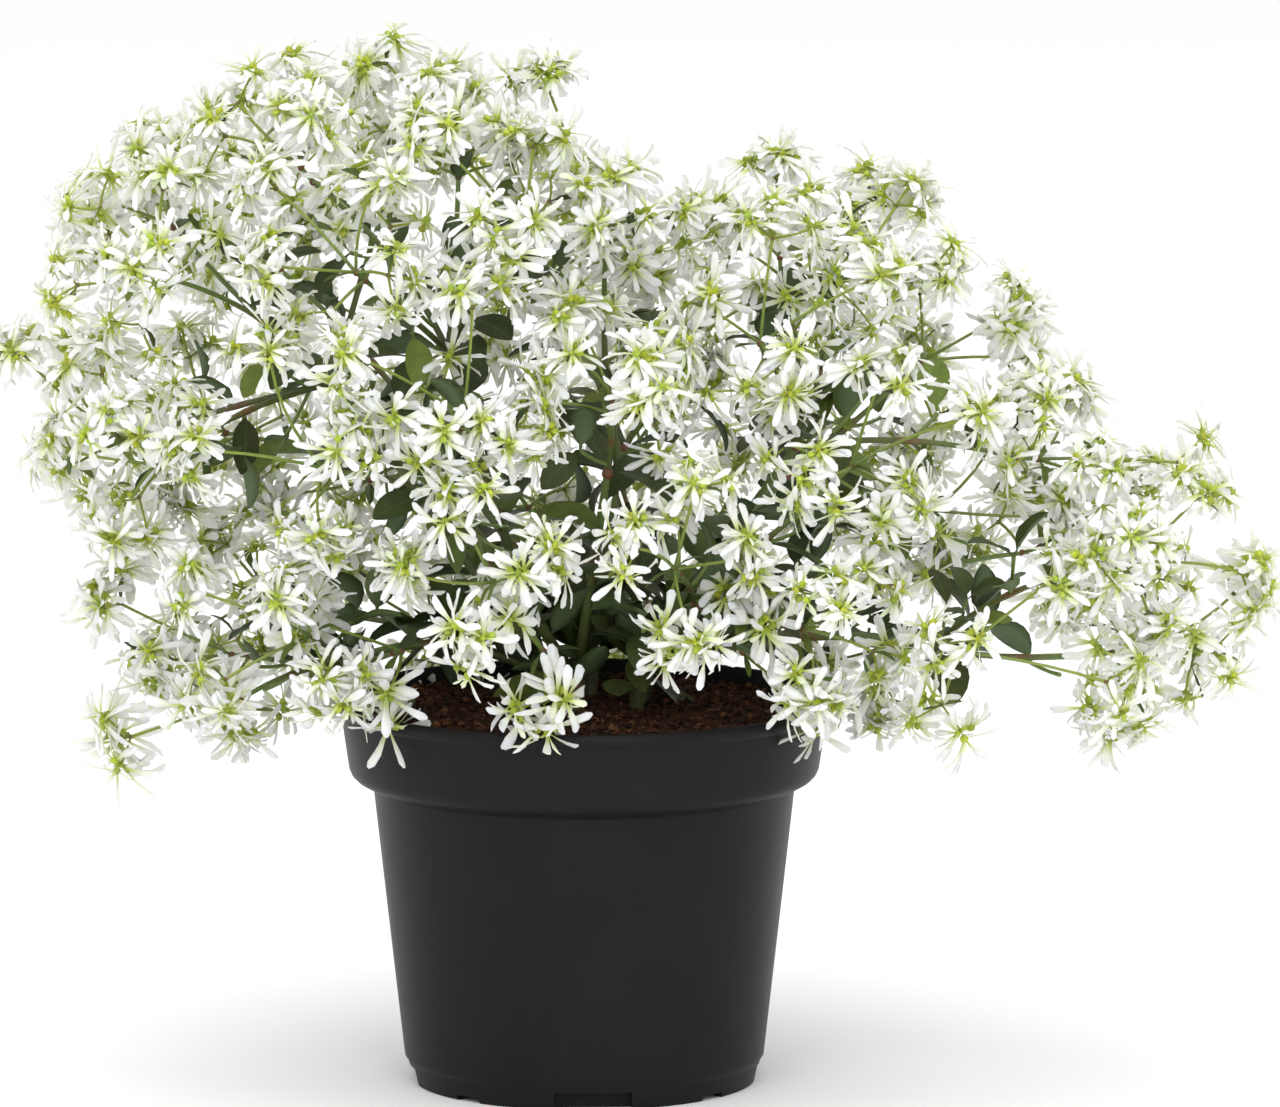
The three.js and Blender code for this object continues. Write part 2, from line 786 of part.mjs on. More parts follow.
function spraySolid({ foot, rings, heads }) {
  const surface = new Surface();
  surface.cap([...foot].reverse());
  surface.band(foot, rings.low);
  surface.closeFork(rings);
  for (const { side, low, high, bracts } of heads) {
    surface.band(side, low);
    surface.cap(high);
    for (const { root, tip } of bracts) {
      if (tip) surface.band(root, tip);
      surface.cap(tip ?? root);
    }
  }
  return surface.solid();
}

// Stems

// A stem's rings: it bends up to its knuckle, and a branch goes from there to each of its sprays.
function stemPlan({ curve, knuckle }, sprays) {
  const joints = sprays.map((s) => s.joint);
  const axis = middleOf(joints).sub(knuckle).normalize();
  const rings = forkRings(knuckle, axis, joints, KNUCKLE);
  const bend = [rings.low];
  for (const t of [0.7, 0.35, 0]) {
    bend.unshift(ringBeside(bend[0], curve.getPoint(t), curve.getTangent(t), STEM_RADIUS, 4));
  }
  const branches = sprays.map(({ joint, along }, j) => {
    const side = sideOf(rings, j);
    return [side, ringBeside(side, joint, along, BRANCH_RADIUS, 4)];
  });
  return { bend, rings, branches };
}

function stemSolid({ bend, rings, branches }) {
  const surface = new Surface();
  surface.cap([...bend[0]].reverse());
  surface.tube(bend);
  surface.closeFork(rings);
  for (const branch of branches) {
    surface.tube(branch);
    surface.cap(branch.at(-1));
  }
  return surface.solid();
}

// The plant. The pot, the soil and all stalks are placed first, then the bracts and the leaves.
const placed = new Placed();
const plant = new THREE.Group();
const directions = crownDirections();
const cuttings = planCuttings();
const stems = planStems(cuttings, directions);
const sprays = planSprays(stems, directions);

plant.add(meshOf("pot", placed.add(pot(), "pot"), BLACK_PLASTIC));
plant.add(meshOf("soil", placed.add(soil(cuttings), "soil"), PEAT));

const cuttingNames = cuttings.map((_, k) => "leafy_cutting_" + (k + 1));
const solids = cuttings.map(({ bottom, crotch }, k) => {
  const path = [bottom, bottom.clone().setZ(SOIL_TOP + 3), crotch.clone().setZ(crotch.z + 1.5)];
  return [placed.add(tapered(path, TRUNK_RADII, 6), cuttingNames[k] + " wood")];
});
stems.forEach((stem, i) => {
  const own = sprays.filter((spray) => spray.stem === i);
  const plan = stemPlan(stem, own);
  placed.addTubes([plan.bend, ...plan.branches], cuttingNames[stem.cutting] + " wood");
  solids[stem.cutting].push(stemSolid(plan));
});

const sprayNames = sprays.map((_, i) => "flower_spray_" + String(i + 1).padStart(2, "0"));
const plans = sprays.map((spray, i) => sprayPlan(spray, HEAD_SEED + i));
plans.forEach(({ foot, rings, heads }, i) => {
  placed.addTubes([[foot, rings.low, rings.high]], sprayNames[i] + " fork");
  heads.forEach(({ side, low }, j) => placed.addTubes([[side, low]], sprayNames[i] + " " + j));
});
plans.forEach((plan, i) => {
  plan.heads.forEach((head, j) => {
    for (const bract of head.bracts) {
      bract.tip = growBract(head, bract, placed, sprayNames[i] + " " + j);
    }
  });
  plant.add(meshOf(sprayNames[i], spraySolid(plan), BRACT_WHITE));
});

const leafSpots = stems.flatMap(({ curve, cutting }, i) => [
  { cutting, point: curve.getPoint(1), along: curve.getTangent(1), count: 2, seed: 330 + i },
  { cutting, point: curve.getPoint(0.55), along: curve.getTangent(0.55), count: 1, seed: 400 + i },
]);
cuttings.forEach(({ crotch, side }, k) => {
  leafSpots.push({ cutting: k, point: crotch, along: side, count: 2, seed: 500 + k });
});
for (const spot of leafSpots) {
  solids[spot.cutting].push(...leavesRound(spot, placed, cuttingNames[spot.cutting]));
}
cuttings.forEach((_, k) => {
  plant.add(meshOf(cuttingNames[k], Manifold.union(solids[k]).simplify(0.05), LEAF_GREEN));
});

export default plant;
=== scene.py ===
import math

import bpy
import numpy as np
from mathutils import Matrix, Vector, noise


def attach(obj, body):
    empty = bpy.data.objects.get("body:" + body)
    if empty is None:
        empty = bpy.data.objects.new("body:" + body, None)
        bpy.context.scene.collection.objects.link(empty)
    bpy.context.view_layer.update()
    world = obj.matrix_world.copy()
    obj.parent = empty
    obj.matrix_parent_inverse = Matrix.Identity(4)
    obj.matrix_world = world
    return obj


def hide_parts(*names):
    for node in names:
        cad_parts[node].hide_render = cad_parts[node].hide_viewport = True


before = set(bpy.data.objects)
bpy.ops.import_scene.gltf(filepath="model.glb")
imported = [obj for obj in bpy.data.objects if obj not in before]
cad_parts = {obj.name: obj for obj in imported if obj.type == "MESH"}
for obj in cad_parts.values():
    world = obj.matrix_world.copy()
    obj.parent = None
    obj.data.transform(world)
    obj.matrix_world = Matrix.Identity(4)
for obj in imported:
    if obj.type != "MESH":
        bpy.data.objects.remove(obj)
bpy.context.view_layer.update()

MM = 0.001

# The crown's plan, with the same values as the part's source.
HEART = np.array([4.0, 0.0, 118.0])
LOBES = [
    ((-63, 0, 199), (93, 86, 84)),
    ((55, 4, 165), (82, 88, 87)),
    ((118, -8, 137), (70, 66, 48)),
    ((-82, 0, 132), (60, 72, 44)),
    ((2, 0, 142), (96, 112, 97)),
]
LOWEST_BACK, LOWEST_SIDES, LOWEST_FRONT = 0, 6, -20
DIRECTIONS = 1500
CUTTINGS, CUTTING_RING, CUTTING_TURN, CUTTING_DEPTH = 5, 12, 0.5, 14
CROTCH_HEIGHT = 107
STEMS, STEM_REACH, STEM_LIFT = 15, 0.5, 12
SPRAYS, SPRAY_SEED, CYMES = 46, 100, 4
CYME_SPREAD, CYME_INSET, CYME_INSET_VARIES, CYMES_APART = 17.5, 10, 14, 23
FORK_SETBACK, STALK_BELOW_FORK = 15, 5
HANGING = [
    [(-10, -67, 111), (-19, -63, 135)],
    [(-52, -46, 112), (-69, -42, 127)],
    [(60, -44, 108), (44, -60, 134)],
    [(-117, -14, 96), (-99, -24, 108)],
]
SOIL_TOP, SOIL_MOUND, SOIL_EDGE = 97.4, 2.2, 61.6
LEAF_LENGTH = (17, 23)
KNUCKLE_LEAF_SEED, STEM_LEAF_SEED, CROTCH_LEAF_SEED = 330, 400, 500
SOIL_SEED, CUTTING_SEED, SPRAY_DRESS_SEED = 51, 800, 2000
POT_TURN = math.radians(3.1)

# Heads: each cyme carries a few, and each is a knot of cyathia with white bracts.
SHARE_OF_FOURS = 0.45
RAY_LENGTH = (5.0, 9.4)
BRACT_LENGTH = (5.6, 10.4)
BRACT_WIDTH = (1.55, 2.75)

# Colours, linear.
WOOD = (0.085, 0.075, 0.03)
STEM_GREEN = (0.062, 0.074, 0.018)
TWIG_GREEN = (0.13, 0.19, 0.04)
KNUCKLE = (0.15, 0.055, 0.022)
LIME = (0.38, 0.45, 0.036)
LIME_DEEP = (0.24, 0.34, 0.025)
LEAF_DARK = (0.031, 0.045, 0.0065)
LEAF_YOUNG = (0.10, 0.14, 0.022)


def unit(v):
    return v / np.maximum(np.linalg.norm(v, axis=-1, keepdims=True), 1e-9)


def random_from(seed):
    """The part's own draws from 0 to 1."""
    state = seed & 0xFFFFFFFF

    def times(a, b):
        return (a * b) & 0xFFFFFFFF

    def draw():
        nonlocal state
        state = (state + 0x6D2B79F5) & 0xFFFFFFFF
        mixed = times(state ^ (state >> 15), state | 1)
        mixed ^= (mixed + times(mixed ^ (mixed >> 7), mixed | 61)) & 0xFFFFFFFF
        return ((mixed ^ (mixed >> 14)) & 0xFFFFFFFF) / 4294967296

    return draw


def across_of(direction):
    helper = np.array([1.0, 0, 0]) if abs(direction[2]) > 0.9 else np.array([0, 0, 1.0])
    side = unit(np.cross(helper, direction))
    return side, unit(np.cross(direction, side))


# The plan


def reach(direction):
    far = 0
    for centre, radii in LOBES:
        start = (HEART - centre) / radii
        step = direction / radii
        a, b, c = step @ step, start @ step, start @ start - 1
        root = b * b - a * c
        if root > 0:
            far = max(far, (math.sqrt(root) - b) / a)
    return far


def crown_directions():
    golden = math.pi * (3 - math.sqrt(5))
    made = []
    for i in range(DIRECTIONS):
        azimuth = i * golden
        sideways = LOWEST_SIDES * math.cos(azimuth) ** 2
        ahead = LOWEST_FRONT * max(0, -math.sin(azimuth)) ** 2
        lowest = -math.radians(LOWEST_BACK + sideways + ahead)
        rise = 1 - ((i + 0.5) / DIRECTIONS) * (1 - math.sin(lowest))
        flat = math.sqrt(1 - rise * rise)
        made.append((flat * math.cos(azimuth), flat * math.sin(azimuth), rise))
    return np.array(made)


def spread_over(directions, count, inset):
    points = np.array([HEART + d * (reach(d) - inset) for d in directions])
    nearest = np.full(len(points), np.inf)
    picked = []
    pick = 0
    while len(picked) < count:
        picked.append(directions[pick])
        nearest = np.minimum(nearest, np.linalg.norm(points - points[pick], axis=1))
        pick = int(np.argmax(nearest))
    return picked


def plan_cuttings():
    made = []
    for k in range(CUTTINGS):
        angle = (k / CUTTINGS) * 2 * math.pi + CUTTING_TURN
        side = np.array([math.cos(angle), math.sin(angle), 0])
        foot = np.array([HEART[0], HEART[1], 0]) + side * CUTTING_RING
        bottom = foot + [0, 0, SOIL_TOP - CUTTING_DEPTH + 0.3]
        crotch = foot + [0, 0, CROTCH_HEIGHT] + side * 2
        made.append({"side": side, "bottom": bottom, "crotch": crotch})
    return made


def plan_stems(cuttings, directions):
    made = []
    for direction in spread_over(directions, STEMS, 0):
        level = unit(direction * [1, 1, 0])
        cutting = int(np.argmax([c["side"] @ level for c in cuttings]))
        crotch = cuttings[cutting]["crotch"]
        knuckle = HEART + direction * (STEM_REACH * reach(direction))
        bend = (crotch + knuckle) / 2 + [0, 0, STEM_LIFT * (1 - direction[2])]
        curve = (crotch, bend, knuckle)
        made.append({"direction": direction, "cutting": cutting, "curve": curve})
    return made


def move_apart(points):
    for _ in range(10):
        for i in range(len(points)):
            for j in range(i):
                offset = [points[i][k] - points[j][k] for k in range(3)]
                length = math.sqrt(sum(c * c for c in offset))
                short = CYMES_APART - length
                if short <= 0:
                    continue
                for k in range(3):
                    step = offset[k] / length * short / 2
                    points[i][k] += step
                    points[j][k] -= step


def plan_sprays(stems, directions):
    sprays = []
    upright = spread_over(directions, SPRAYS - len(HANGING), CYME_INSET)
    for i, direction in enumerate(upright):
        draw = random_from(SPRAY_SEED + i)
        side, up = across_of(direction)
        spread = CYME_SPREAD / (reach(direction) - CYME_INSET)
        turn = draw() * 2 * math.pi
        cymes = []
        for j in range(CYMES):
            angle = turn + ((j + 0.3 * draw()) / CYMES) * 2 * math.pi
            aim = direction + side * (math.cos(angle) * spread) + up * (math.sin(angle) * spread)
            aim = unit(aim)
            inset = CYME_INSET + CYME_INSET_VARIES * draw()
            cymes.append([float(c) for c in HEART + aim * (reach(aim) - inset)])
        sprays.append({"direction": direction, "cymes": cymes})
    for ends in HANGING:
        cymes = [[float(c) for c in end] for end in ends]
        direction = unit(np.mean(cymes, axis=0) - HEART)
        sprays.append({"direction": direction, "cymes": cymes})
    move_apart([cyme for spray in sprays for cyme in spray["cymes"]])
    for spray in sprays:
        spray["cymes"] = np.array(spray["cymes"])
        direction = spray["direction"]
        spray["fork"] = spray["cymes"].mean(axis=0) - direction * FORK_SETBACK
        spray["stem"] = int(np.argmax([s["direction"] @ direction for s in stems]))
        spray["along"] = unit(spray["fork"] - stems[spray["stem"]]["curve"][2])
        spray["joint"] = spray["fork"] - spray["along"] * STALK_BELOW_FORK
    return sprays


def curve_point(curve, t):
    a, b, c = curve
    return a * (1 - t) ** 2 + b * (2 * t * (1 - t)) + c * t**2


def curve_aim(curve, t):
    a, b, c = curve
    return unit((b - a) * (1 - t) + (c - b) * t)


# Meshes


class Skin:
    """Closed shapes of many kinds, gathered into one mesh with a tint and a mark at each point.

    A blade's mark is (how far along, how far across, 1 on its underside)."""

    def __init__(self):
        self.points, self.tints, self.marks = [], [], []
        self.faces, self.slots = [], []
        self.count = 0

    def add(self, points, faces, slot, tints, marks=(0, 0, 0)):
        """points is (n, m, 3): n shapes of m points each. faces index one shape's points."""
        n, m = points.shape[:2]
        self.points.append(points.reshape(-1, 3))
        self.tints.append(np.broadcast_to(tints, points.shape).reshape(-1, 3))
        self.marks.append(np.broadcast_to(marks, points.shape).reshape(-1, 3))
        starts = self.count + np.arange(n) * m
        for face in faces:
            whole = (starts[:, None, None] + face[None]).reshape(-1, face.shape[1])
            self.faces.append(whole)
            self.slots.append(np.full(len(whole), slot))
        self.count += n * m

    def make(self, name, materials, sharp=50):
        mesh = bpy.data.meshes.new(name)
        mesh.vertices.add(self.count)
        mesh.vertices.foreach_set("co", np.concatenate(self.points).ravel() * MM)
        loops = np.concatenate([f.ravel() for f in self.faces])
        sizes = np.concatenate([np.full(len(f), f.shape[1]) for f in self.faces])
        mesh.loops.add(len(loops))
        mesh.loops.foreach_set("vertex_index", loops)
        mesh.polygons.add(len(sizes))
        mesh.polygons.foreach_set("loop_start", np.cumsum(sizes) - sizes)
        mesh.polygons.foreach_set("material_index", np.concatenate(self.slots))
        mesh.polygons.foreach_set("use_smooth", np.ones(len(sizes), dtype=bool))
        tints = np.concatenate(self.tints)
        colours = np.concatenate([tints, np.ones((len(tints), 1))], axis=1)
        tint = mesh.attributes.new("tint", "FLOAT_COLOR", "POINT")
        tint.data.foreach_set("color", colours.ravel())
        mark = mesh.attributes.new("mark", "FLOAT_VECTOR", "POINT")
        mark.data.foreach_set("vector", np.concatenate(self.marks).ravel())
        mesh.update(calc_edges=True)
        mesh.set_sharp_from_angle(angle=math.radians(sharp))
        for one in materials:
            mesh.materials.append(one)
        made = bpy.data.objects.new(name, mesh)
        bpy.context.scene.collection.objects.link(made)
        return made


def bands(rings, sides):
    """Quads between rings of points, and a cap at each end. The rings turn round the way on."""
    quads = []
    for i in range(rings - 1):
        for k in range(sides):
            a, b = i * sides + k, i * sides + (k + 1) % sides
            quads.append((a, b, b + sides, a + sides))
    first = np.arange(sides)[::-1][None]
    last = (rings - 1) * sides + np.arange(sides)[None]
    return [np.array(quads), first, last]


def tubes(skin, slot, start, middle, end, radii, sides, tints, stations=None):
    """Round tubes along curves from start to end that head for middle. radii is (n, stations)."""
    start, middle, end = np.broadcast_arrays(*(np.atleast_2d(v) for v in (start, middle, end)))
    radii = np.atleast_2d(radii)
    n, count = len(start), radii.shape[1]
    radii = np.broadcast_to(radii, (n, count))
    t = np.linspace(0, 1, count) if stations is None else np.asarray(stations, dtype=float)
    t = t[None, :, None]
    a, b, c = start[:, None], middle[:, None], end[:, None]
    centre = a * (1 - t) ** 2 + b * (2 * t * (1 - t)) + c * t**2
    aim = unit((b - a) * (1 - t) + (c - b) * t)
    chord = unit(end - start)
    helper = np.where(np.abs(chord[:, 2:]) > 0.8, [[1.0, 0, 0]], [[0, 0, 1.0]])
    side = np.cross(helper, chord)[:, None]
    side = unit(side - aim * np.sum(side * aim, axis=-1, keepdims=True))
    up = np.cross(aim, side)
    angle = np.arange(sides) / sides * 2 * np.pi
    ring = (
        side[:, :, None] * np.cos(angle)[None, None, :, None]
        + up[:, :, None] * np.sin(angle)[None, None, :, None]
    )
    points = centre[:, :, None] + ring * radii[:, :, None, None]
    tints = np.broadcast_to(tints, (n, count, 3))[:, :, None]
    tints = np.broadcast_to(tints, points.shape).reshape(n, -1, 3)
    skin.add(points.reshape(n, -1, 3), bands(count, sides), slot, tints)


def knots(skin, slot, at, axis, radius, tall, tint, sides=7):
    """Swollen joints."""
    share = np.array([0.35, 0.8, 1.0, 0.95, 0.7, 0.3])
    at, axis = np.atleast_2d(at), np.atleast_2d(axis)
    radius = np.broadcast_to(radius, len(at))
    tall = np.broadcast_to(tall, len(at))[:, None]
    low, high = at - axis * tall / 2, at + axis * tall / 2
    stations = (0, 0.12, 0.4, 0.6, 0.85, 1)
    tubes(skin, slot, low, at, high, radius[:, None] * share, sides, tint, stations)


def blades(skin, slot, root, aim, face, length, half, shape, columns, tints, own):
    """Thin closed blades. shape has stations, widths (shares of half) and, for each blade, how far
    it bends down, its cup, twist, wave and thickness."""
    n = len(root)
    s = np.asarray(shape["stations"], dtype=float)
    count = len(s)
    fine = np.linspace(0, 1, 41)
    turned = -np.asarray(shape["bend"])[:, None] * fine**1.3 + np.asarray(shape["lift"])[:, None]
    forward = np.cumsum(np.cos(turned), axis=1) / 41
    rise = np.cumsum(np.sin(turned), axis=1) / 41
    at = np.clip((s * 40).round().astype(int), 0, 40)
    angle = turned[:, at]
    face = unit(face - aim * np.sum(face * aim, axis=1, keepdims=True))
    side = np.cross(face, aim)
    span = np.asarray(length)[:, None]
    centre = (
        root[:, None]
        + aim[:, None] * (forward[:, at] * span)[..., None]
        + face[:, None] * (rise[:, at] * span)[..., None]
    )
    normal = face[:, None] * np.cos(angle)[..., None] - aim[:, None] * np.sin(angle)[..., None]
    turn = np.asarray(shape["twist"])[:, None] * s[None]
    across = side[:, None] * np.cos(turn)[..., None] + normal * np.sin(turn)[..., None]
    normal = normal * np.cos(turn)[..., None] - side[:, None] * np.sin(turn)[..., None]
    u = np.linspace(-1, 1, columns)
    u = np.concatenate([u, u[-2:0:-1]])
    sign = np.where(np.arange(len(u)) < columns, 1.0, -1.0)
    width = np.asarray(half)[:, None] * np.asarray(shape["widths"])
    wave = np.asarray(shape["wave"])[:, None, None] * np.sin(
        s[None, :, None] * 11 + np.sign(u) * 2.1 + np.asarray(own)[:, None, None] * 6.283
    )
    cup = np.asarray(shape["cup"])[:, None, None]
    thick = np.asarray(shape["thick"])[:, None, None]
    depth = width[..., None] * cup * np.abs(u) ** 1.4 + wave * width[..., None] * u**2
    depth = depth + sign * thick * (1 - u**2) * np.minimum(1, width[..., None] / thick) / 2
    points = (
        centre[:, :, None]
        + across[:, :, None] * (width[..., None] * u)[..., None]
        + normal[:, :, None] * depth[..., None]
    )
    under = (np.arange(len(u)) >= columns).astype(float)
    marks = np.empty((n, count, len(u), 3))
    marks[..., 0] = s[None, :, None]
    marks[..., 1] = u * 0.5 + 0.5
    marks[..., 2] = under
    tints = np.broadcast_to(np.asarray(tints)[:, None, None], points.shape)
    faces = [f[:, ::-1] for f in bands(count, len(u))]
    skin.add(
        points.reshape(n, -1, 3), faces, slot, tints.reshape(n, -1, 3), marks.reshape(n, -1, 3)
    )


# Materials


def material(name, **plain):
    made = bpy.data.materials.new(name)
    made.use_nodes = True
    nodes = made.node_tree.nodes
    shader = nodes["Principled BSDF"]
    for socket, value in plain.items():
        shader.inputs[socket.replace("_", " ")].default_value = value
    return made, nodes, made.node_tree.links, shader


def node(nodes, kind, **inputs):
    made = nodes.new(kind)
    for key, value in inputs.items():
        if key in ("operation", "data_type", "blend_type", "attribute_name"):
            setattr(made, key, value)
        else:
            made.inputs[key.replace("_", " ")].default_value = value
    return made


def ramp(nodes, stops):
    made = nodes.new("ShaderNodeValToRGB")
    elements = made.color_ramp.elements
    while len(elements) < len(stops):
        elements.new(0.5)
    for element, (position, colour) in zip(elements, stops):
        element.position = position
        element.color = (*colour, 1)
    return made


def mark_of(nodes, links):
    attribute = node(nodes, "ShaderNodeAttribute", attribute_name="mark")
    parts = nodes.new("ShaderNodeSeparateXYZ")
    links.new(attribute.outputs["Vector"], parts.inputs[0])
    return parts.outputs


def tint_of(nodes):
    return node(nodes, "ShaderNodeAttribute", attribute_name="tint").outputs["Color"]


def place_of(nodes):
    return nodes.new("ShaderNodeTexCoord").outputs["Object"]


def math_node(nodes, links, operation, *values):
    made = node(nodes, "ShaderNodeMath", operation=operation)
    for socket, value in zip(made.inputs, values):
        if isinstance(value, (int, float)):
            socket.default_value = value
        else:
            links.new(value, socket)
    return made.outputs[0]


def blend_node(nodes, links, blend_type, factor, a, b):
    made = node(nodes, "ShaderNodeMix", data_type="RGBA", blend_type=blend_type)
    for socket, value in ((made.inputs[0], factor), (made.inputs[6], a), (made.inputs[7], b)):
        if isinstance(value, tuple):
            socket.default_value = (*value, 1)
        elif isinstance(value, (int, float)):
            socket.default_value = value
        else:
            links.new(value, socket)
    return made.outputs[2]


def bump_node(nodes, links, height, strength, distance):
    made = node(nodes, "ShaderNodeBump", Strength=strength, Distance=distance)
    links.new(height, made.inputs["Height"])
    return made.outputs["Normal"]


def noise_node(nodes, links, place, scale, detail=2.0, roughness=0.5):
    made = node(nodes, "ShaderNodeTexNoise", Scale=scale, Detail=detail, Roughness=roughness)
    links.new(place, made.inputs["Vector"])
    return made.outputs["Fac"]


def bract_material():
    made, nodes, links, shader = material(
        "bract_white", Roughness=0.5, Subsurface_Weight=0.7, Subsurface_Scale=0.001
    )
    shader.inputs["Subsurface Radius"].default_value = (1.0, 0.95, 0.65)
    along, across, _ = mark_of(nodes, links)
    base = ramp(
        nodes,
        [
            (0.0, (0.32, 0.40, 0.04)),
            (0.20, (0.48, 0.56, 0.17)),
            (0.42, (0.78, 0.80, 0.62)),
            (0.70, (0.885, 0.888, 0.835)),
            (1.0, (0.895, 0.895, 0.875)),
        ],
    )
    links.new(along, base.inputs[0])
    grain = noise_node(nodes, links, place_of(nodes), 700, 3)
    soft = math_node(nodes, links, "MULTIPLY_ADD", grain, 0.10, 0.93)
    mottled = blend_node(nodes, links, "MULTIPLY", 1.0, base.outputs[0], soft)
    tinted = blend_node(nodes, links, "MULTIPLY", 1.0, mottled, tint_of(nodes))
    # Each bract is a little darker along its middle line.
    middle = math_node(nodes, links, "ABSOLUTE", math_node(nodes, links, "SUBTRACT", across, 0.5))
    ninefold = math_node(nodes, links, "MULTIPLY", middle, 9)
    centre_dark = math_node(nodes, links, "SMOOTH_MIN", ninefold, 1, 0.3)
    veined = math_node(nodes, links, "MULTIPLY_ADD", centre_dark, 0.07, 0.93)
    colour = blend_node(nodes, links, "MULTIPLY", 1.0, tinted, veined)
    links.new(colour, shader.inputs["Base Color"])
    lines = math_node(nodes, links, "SINE", math_node(nodes, links, "MULTIPLY", across, 42))
    height = math_node(nodes, links, "ADD", lines, math_node(nodes, links, "MULTIPLY", grain, 2))
    links.new(bump_node(nodes, links, height, 0.25, 0.00006), shader.inputs["Normal"])
    return made


def stem_material():
    made, nodes, links, shader = material("stem_green", Roughness=0.45)
    grain = noise_node(nodes, links, place_of(nodes), 900, 4)
    shade = math_node(nodes, links, "MULTIPLY_ADD", grain, 0.7, 0.62)
    colour = blend_node(nodes, links, "MULTIPLY", 1.0, tint_of(nodes), shade)
    links.new(colour, shader.inputs["Base Color"])
    links.new(bump_node(nodes, links, grain, 0.3, 0.0001), shader.inputs["Normal"])
    return made


def leaf_material():
    made, nodes, links, shader = material("leaf_green", Roughness=0.55, Specular_IOR_Level=0.3)
    along, across, under = mark_of(nodes, links)
    centred = math_node(nodes, links, "SUBTRACT", across, 0.5)
    aside = math_node(nodes, links, "ABSOLUTE", centred)
    # Side veins leave the midrib forwards; their height is a narrow wave of along - aside.
    slant = math_node(nodes, links, "MULTIPLY_ADD", aside, -0.62, along)
    wave = math_node(nodes, links, "COSINE", math_node(nodes, links, "MULTIPLY", slant, 62.8))
    raised = math_node(nodes, links, "MULTIPLY_ADD", wave, 0.5, 0.5)
    sharp = math_node(nodes, links, "POWER", raised, 9)
    rib = math_node(nodes, links, "POWER", math_node(nodes, links, "SUBTRACT", 1, aside), 34)
    veins = math_node(nodes, links, "MAXIMUM", math_node(nodes, links, "MULTIPLY", sharp, 0.5), rib)
    grain = noise_node(nodes, links, place_of(nodes), 350, 4)
    shade = math_node(nodes, links, "MULTIPLY_ADD", grain, 0.8, 0.6)
    green = blend_node(nodes, links, "MULTIPLY", 1.0, tint_of(nodes), shade)
    faint = math_node(nodes, links, "MULTIPLY", veins, 0.3)
    veined = blend_node(nodes, links, "MIX", faint, green, (0.11, 0.16, 0.05))
    pale = blend_node(nodes, links, "MIX", 0.55, veined, (0.13, 0.19, 0.10))
    links.new(blend_node(nodes, links, "MIX", under, veined, pale), shader.inputs["Base Color"])
    rough = math_node(nodes, links, "MULTIPLY", grain, 0.5)
    height = math_node(nodes, links, "MULTIPLY_ADD", veins, -1.0, rough)
    links.new(bump_node(nodes, links, height, 0.35, 0.0002), shader.inputs["Normal"])
    return made


def soil_material():
    made, nodes, links, shader = material("potting_soil", Roughness=0.95)
    shader.inputs["Specular IOR Level"].default_value = 0.25
    place = place_of(nodes)
    grain = noise_node(nodes, links, place, 1400, 5, 0.65)
    patch = noise_node(nodes, links, place, 160, 3)
    shade = math_node(nodes, links, "MULTIPLY_ADD", grain, 1.5, 0.25)
    cloudy = math_node(nodes, links, "MULTIPLY_ADD", patch, 0.8, 0.6)
    shade = math_node(nodes, links, "MULTIPLY", shade, cloudy)
    colour = blend_node(nodes, links, "MULTIPLY", 1.0, tint_of(nodes), shade)
    links.new(colour, shader.inputs["Base Color"])
    links.new(bump_node(nodes, links, grain, 0.8, 0.0006), shader.inputs["Normal"])
    return made


def pot_material():
    made, nodes, links, shader = material("pot_plastic", Specular_IOR_Level=0.1)
    place = place_of(nodes)
    grain = noise_node(nodes, links, place, 1900, 3)
    cloud = noise_node(nodes, links, place, 45, 3)
    base = ramp(nodes, [(0.3, (0.0084, 0.0084, 0.0086)), (0.75, (0.0106, 0.0106, 0.0108))])
    links.new(cloud, base.inputs[0])
    links.new(base.outputs[0], shader.inputs["Base Color"])
    rough = math_node(nodes, links, "MULTIPLY_ADD", cloud, 0.12, 0.37)
    links.new(rough, shader.inputs["Roughness"])
    links.new(bump_node(nodes, links, grain, 0.22, 0.0002), shader.inputs["Normal"])
    return made


# The pot and its soil

POT_OUTSIDE = [
    (0, 0), (44.8, 0), (45.2, 0.3), (45.5, 1.4), (46.2, 4.6), (46.4, 5.5), (46.9, 6.3), (47.3, 6.9),
    (47.5, 8.5), (51.3, 42), (55.3, 77.6), (55.5, 78.4), (56.2, 79.0), (58.2, 79.8), (60.0, 80.8),
    (61.1, 81.9), (61.7, 83.2), (62.0, 85.0), (62.8, 90.5), (63.7, 97.0), (63.9, 98.1), (64.5, 98.7),
    (64.9, 99.5), (65.0, 100.4), (64.9, 101.2), (64.5, 101.8), (63.9, 102.0), (63.3, 101.8),
]
POT_INSIDE = [
    (62.8, 101.1), (62.5, 99.6), (61.9, 97.5), (60.9, 90), (59.9, 83.4), (59.4, 82.0), (58.4, 80.9),
    (54.6, 79.2), (53.9, 78.6), (53.7, 77.4), (45.5, 8.6), (44.9, 6.9), (44.0, 6.3), (0, 6.3),
]
POT_SIDES, POT_SHARP = 160, 34
FOOT_HEIGHT, FOOT_INNER_RADIUS = 4.7, 40.5
CHANNEL_HALF_WIDTH, CHANNEL_CORNER = 3.65, 4
NOTCH_WIDTH, SMALL_NOTCH = 20.4, (7.8, 1.4)
DRAIN_CENTRE_RADIUS, DRAIN_RADIUS = 30, 3.0
QUARTERS = (0, 90, 180, 270)
BEYOND = 60


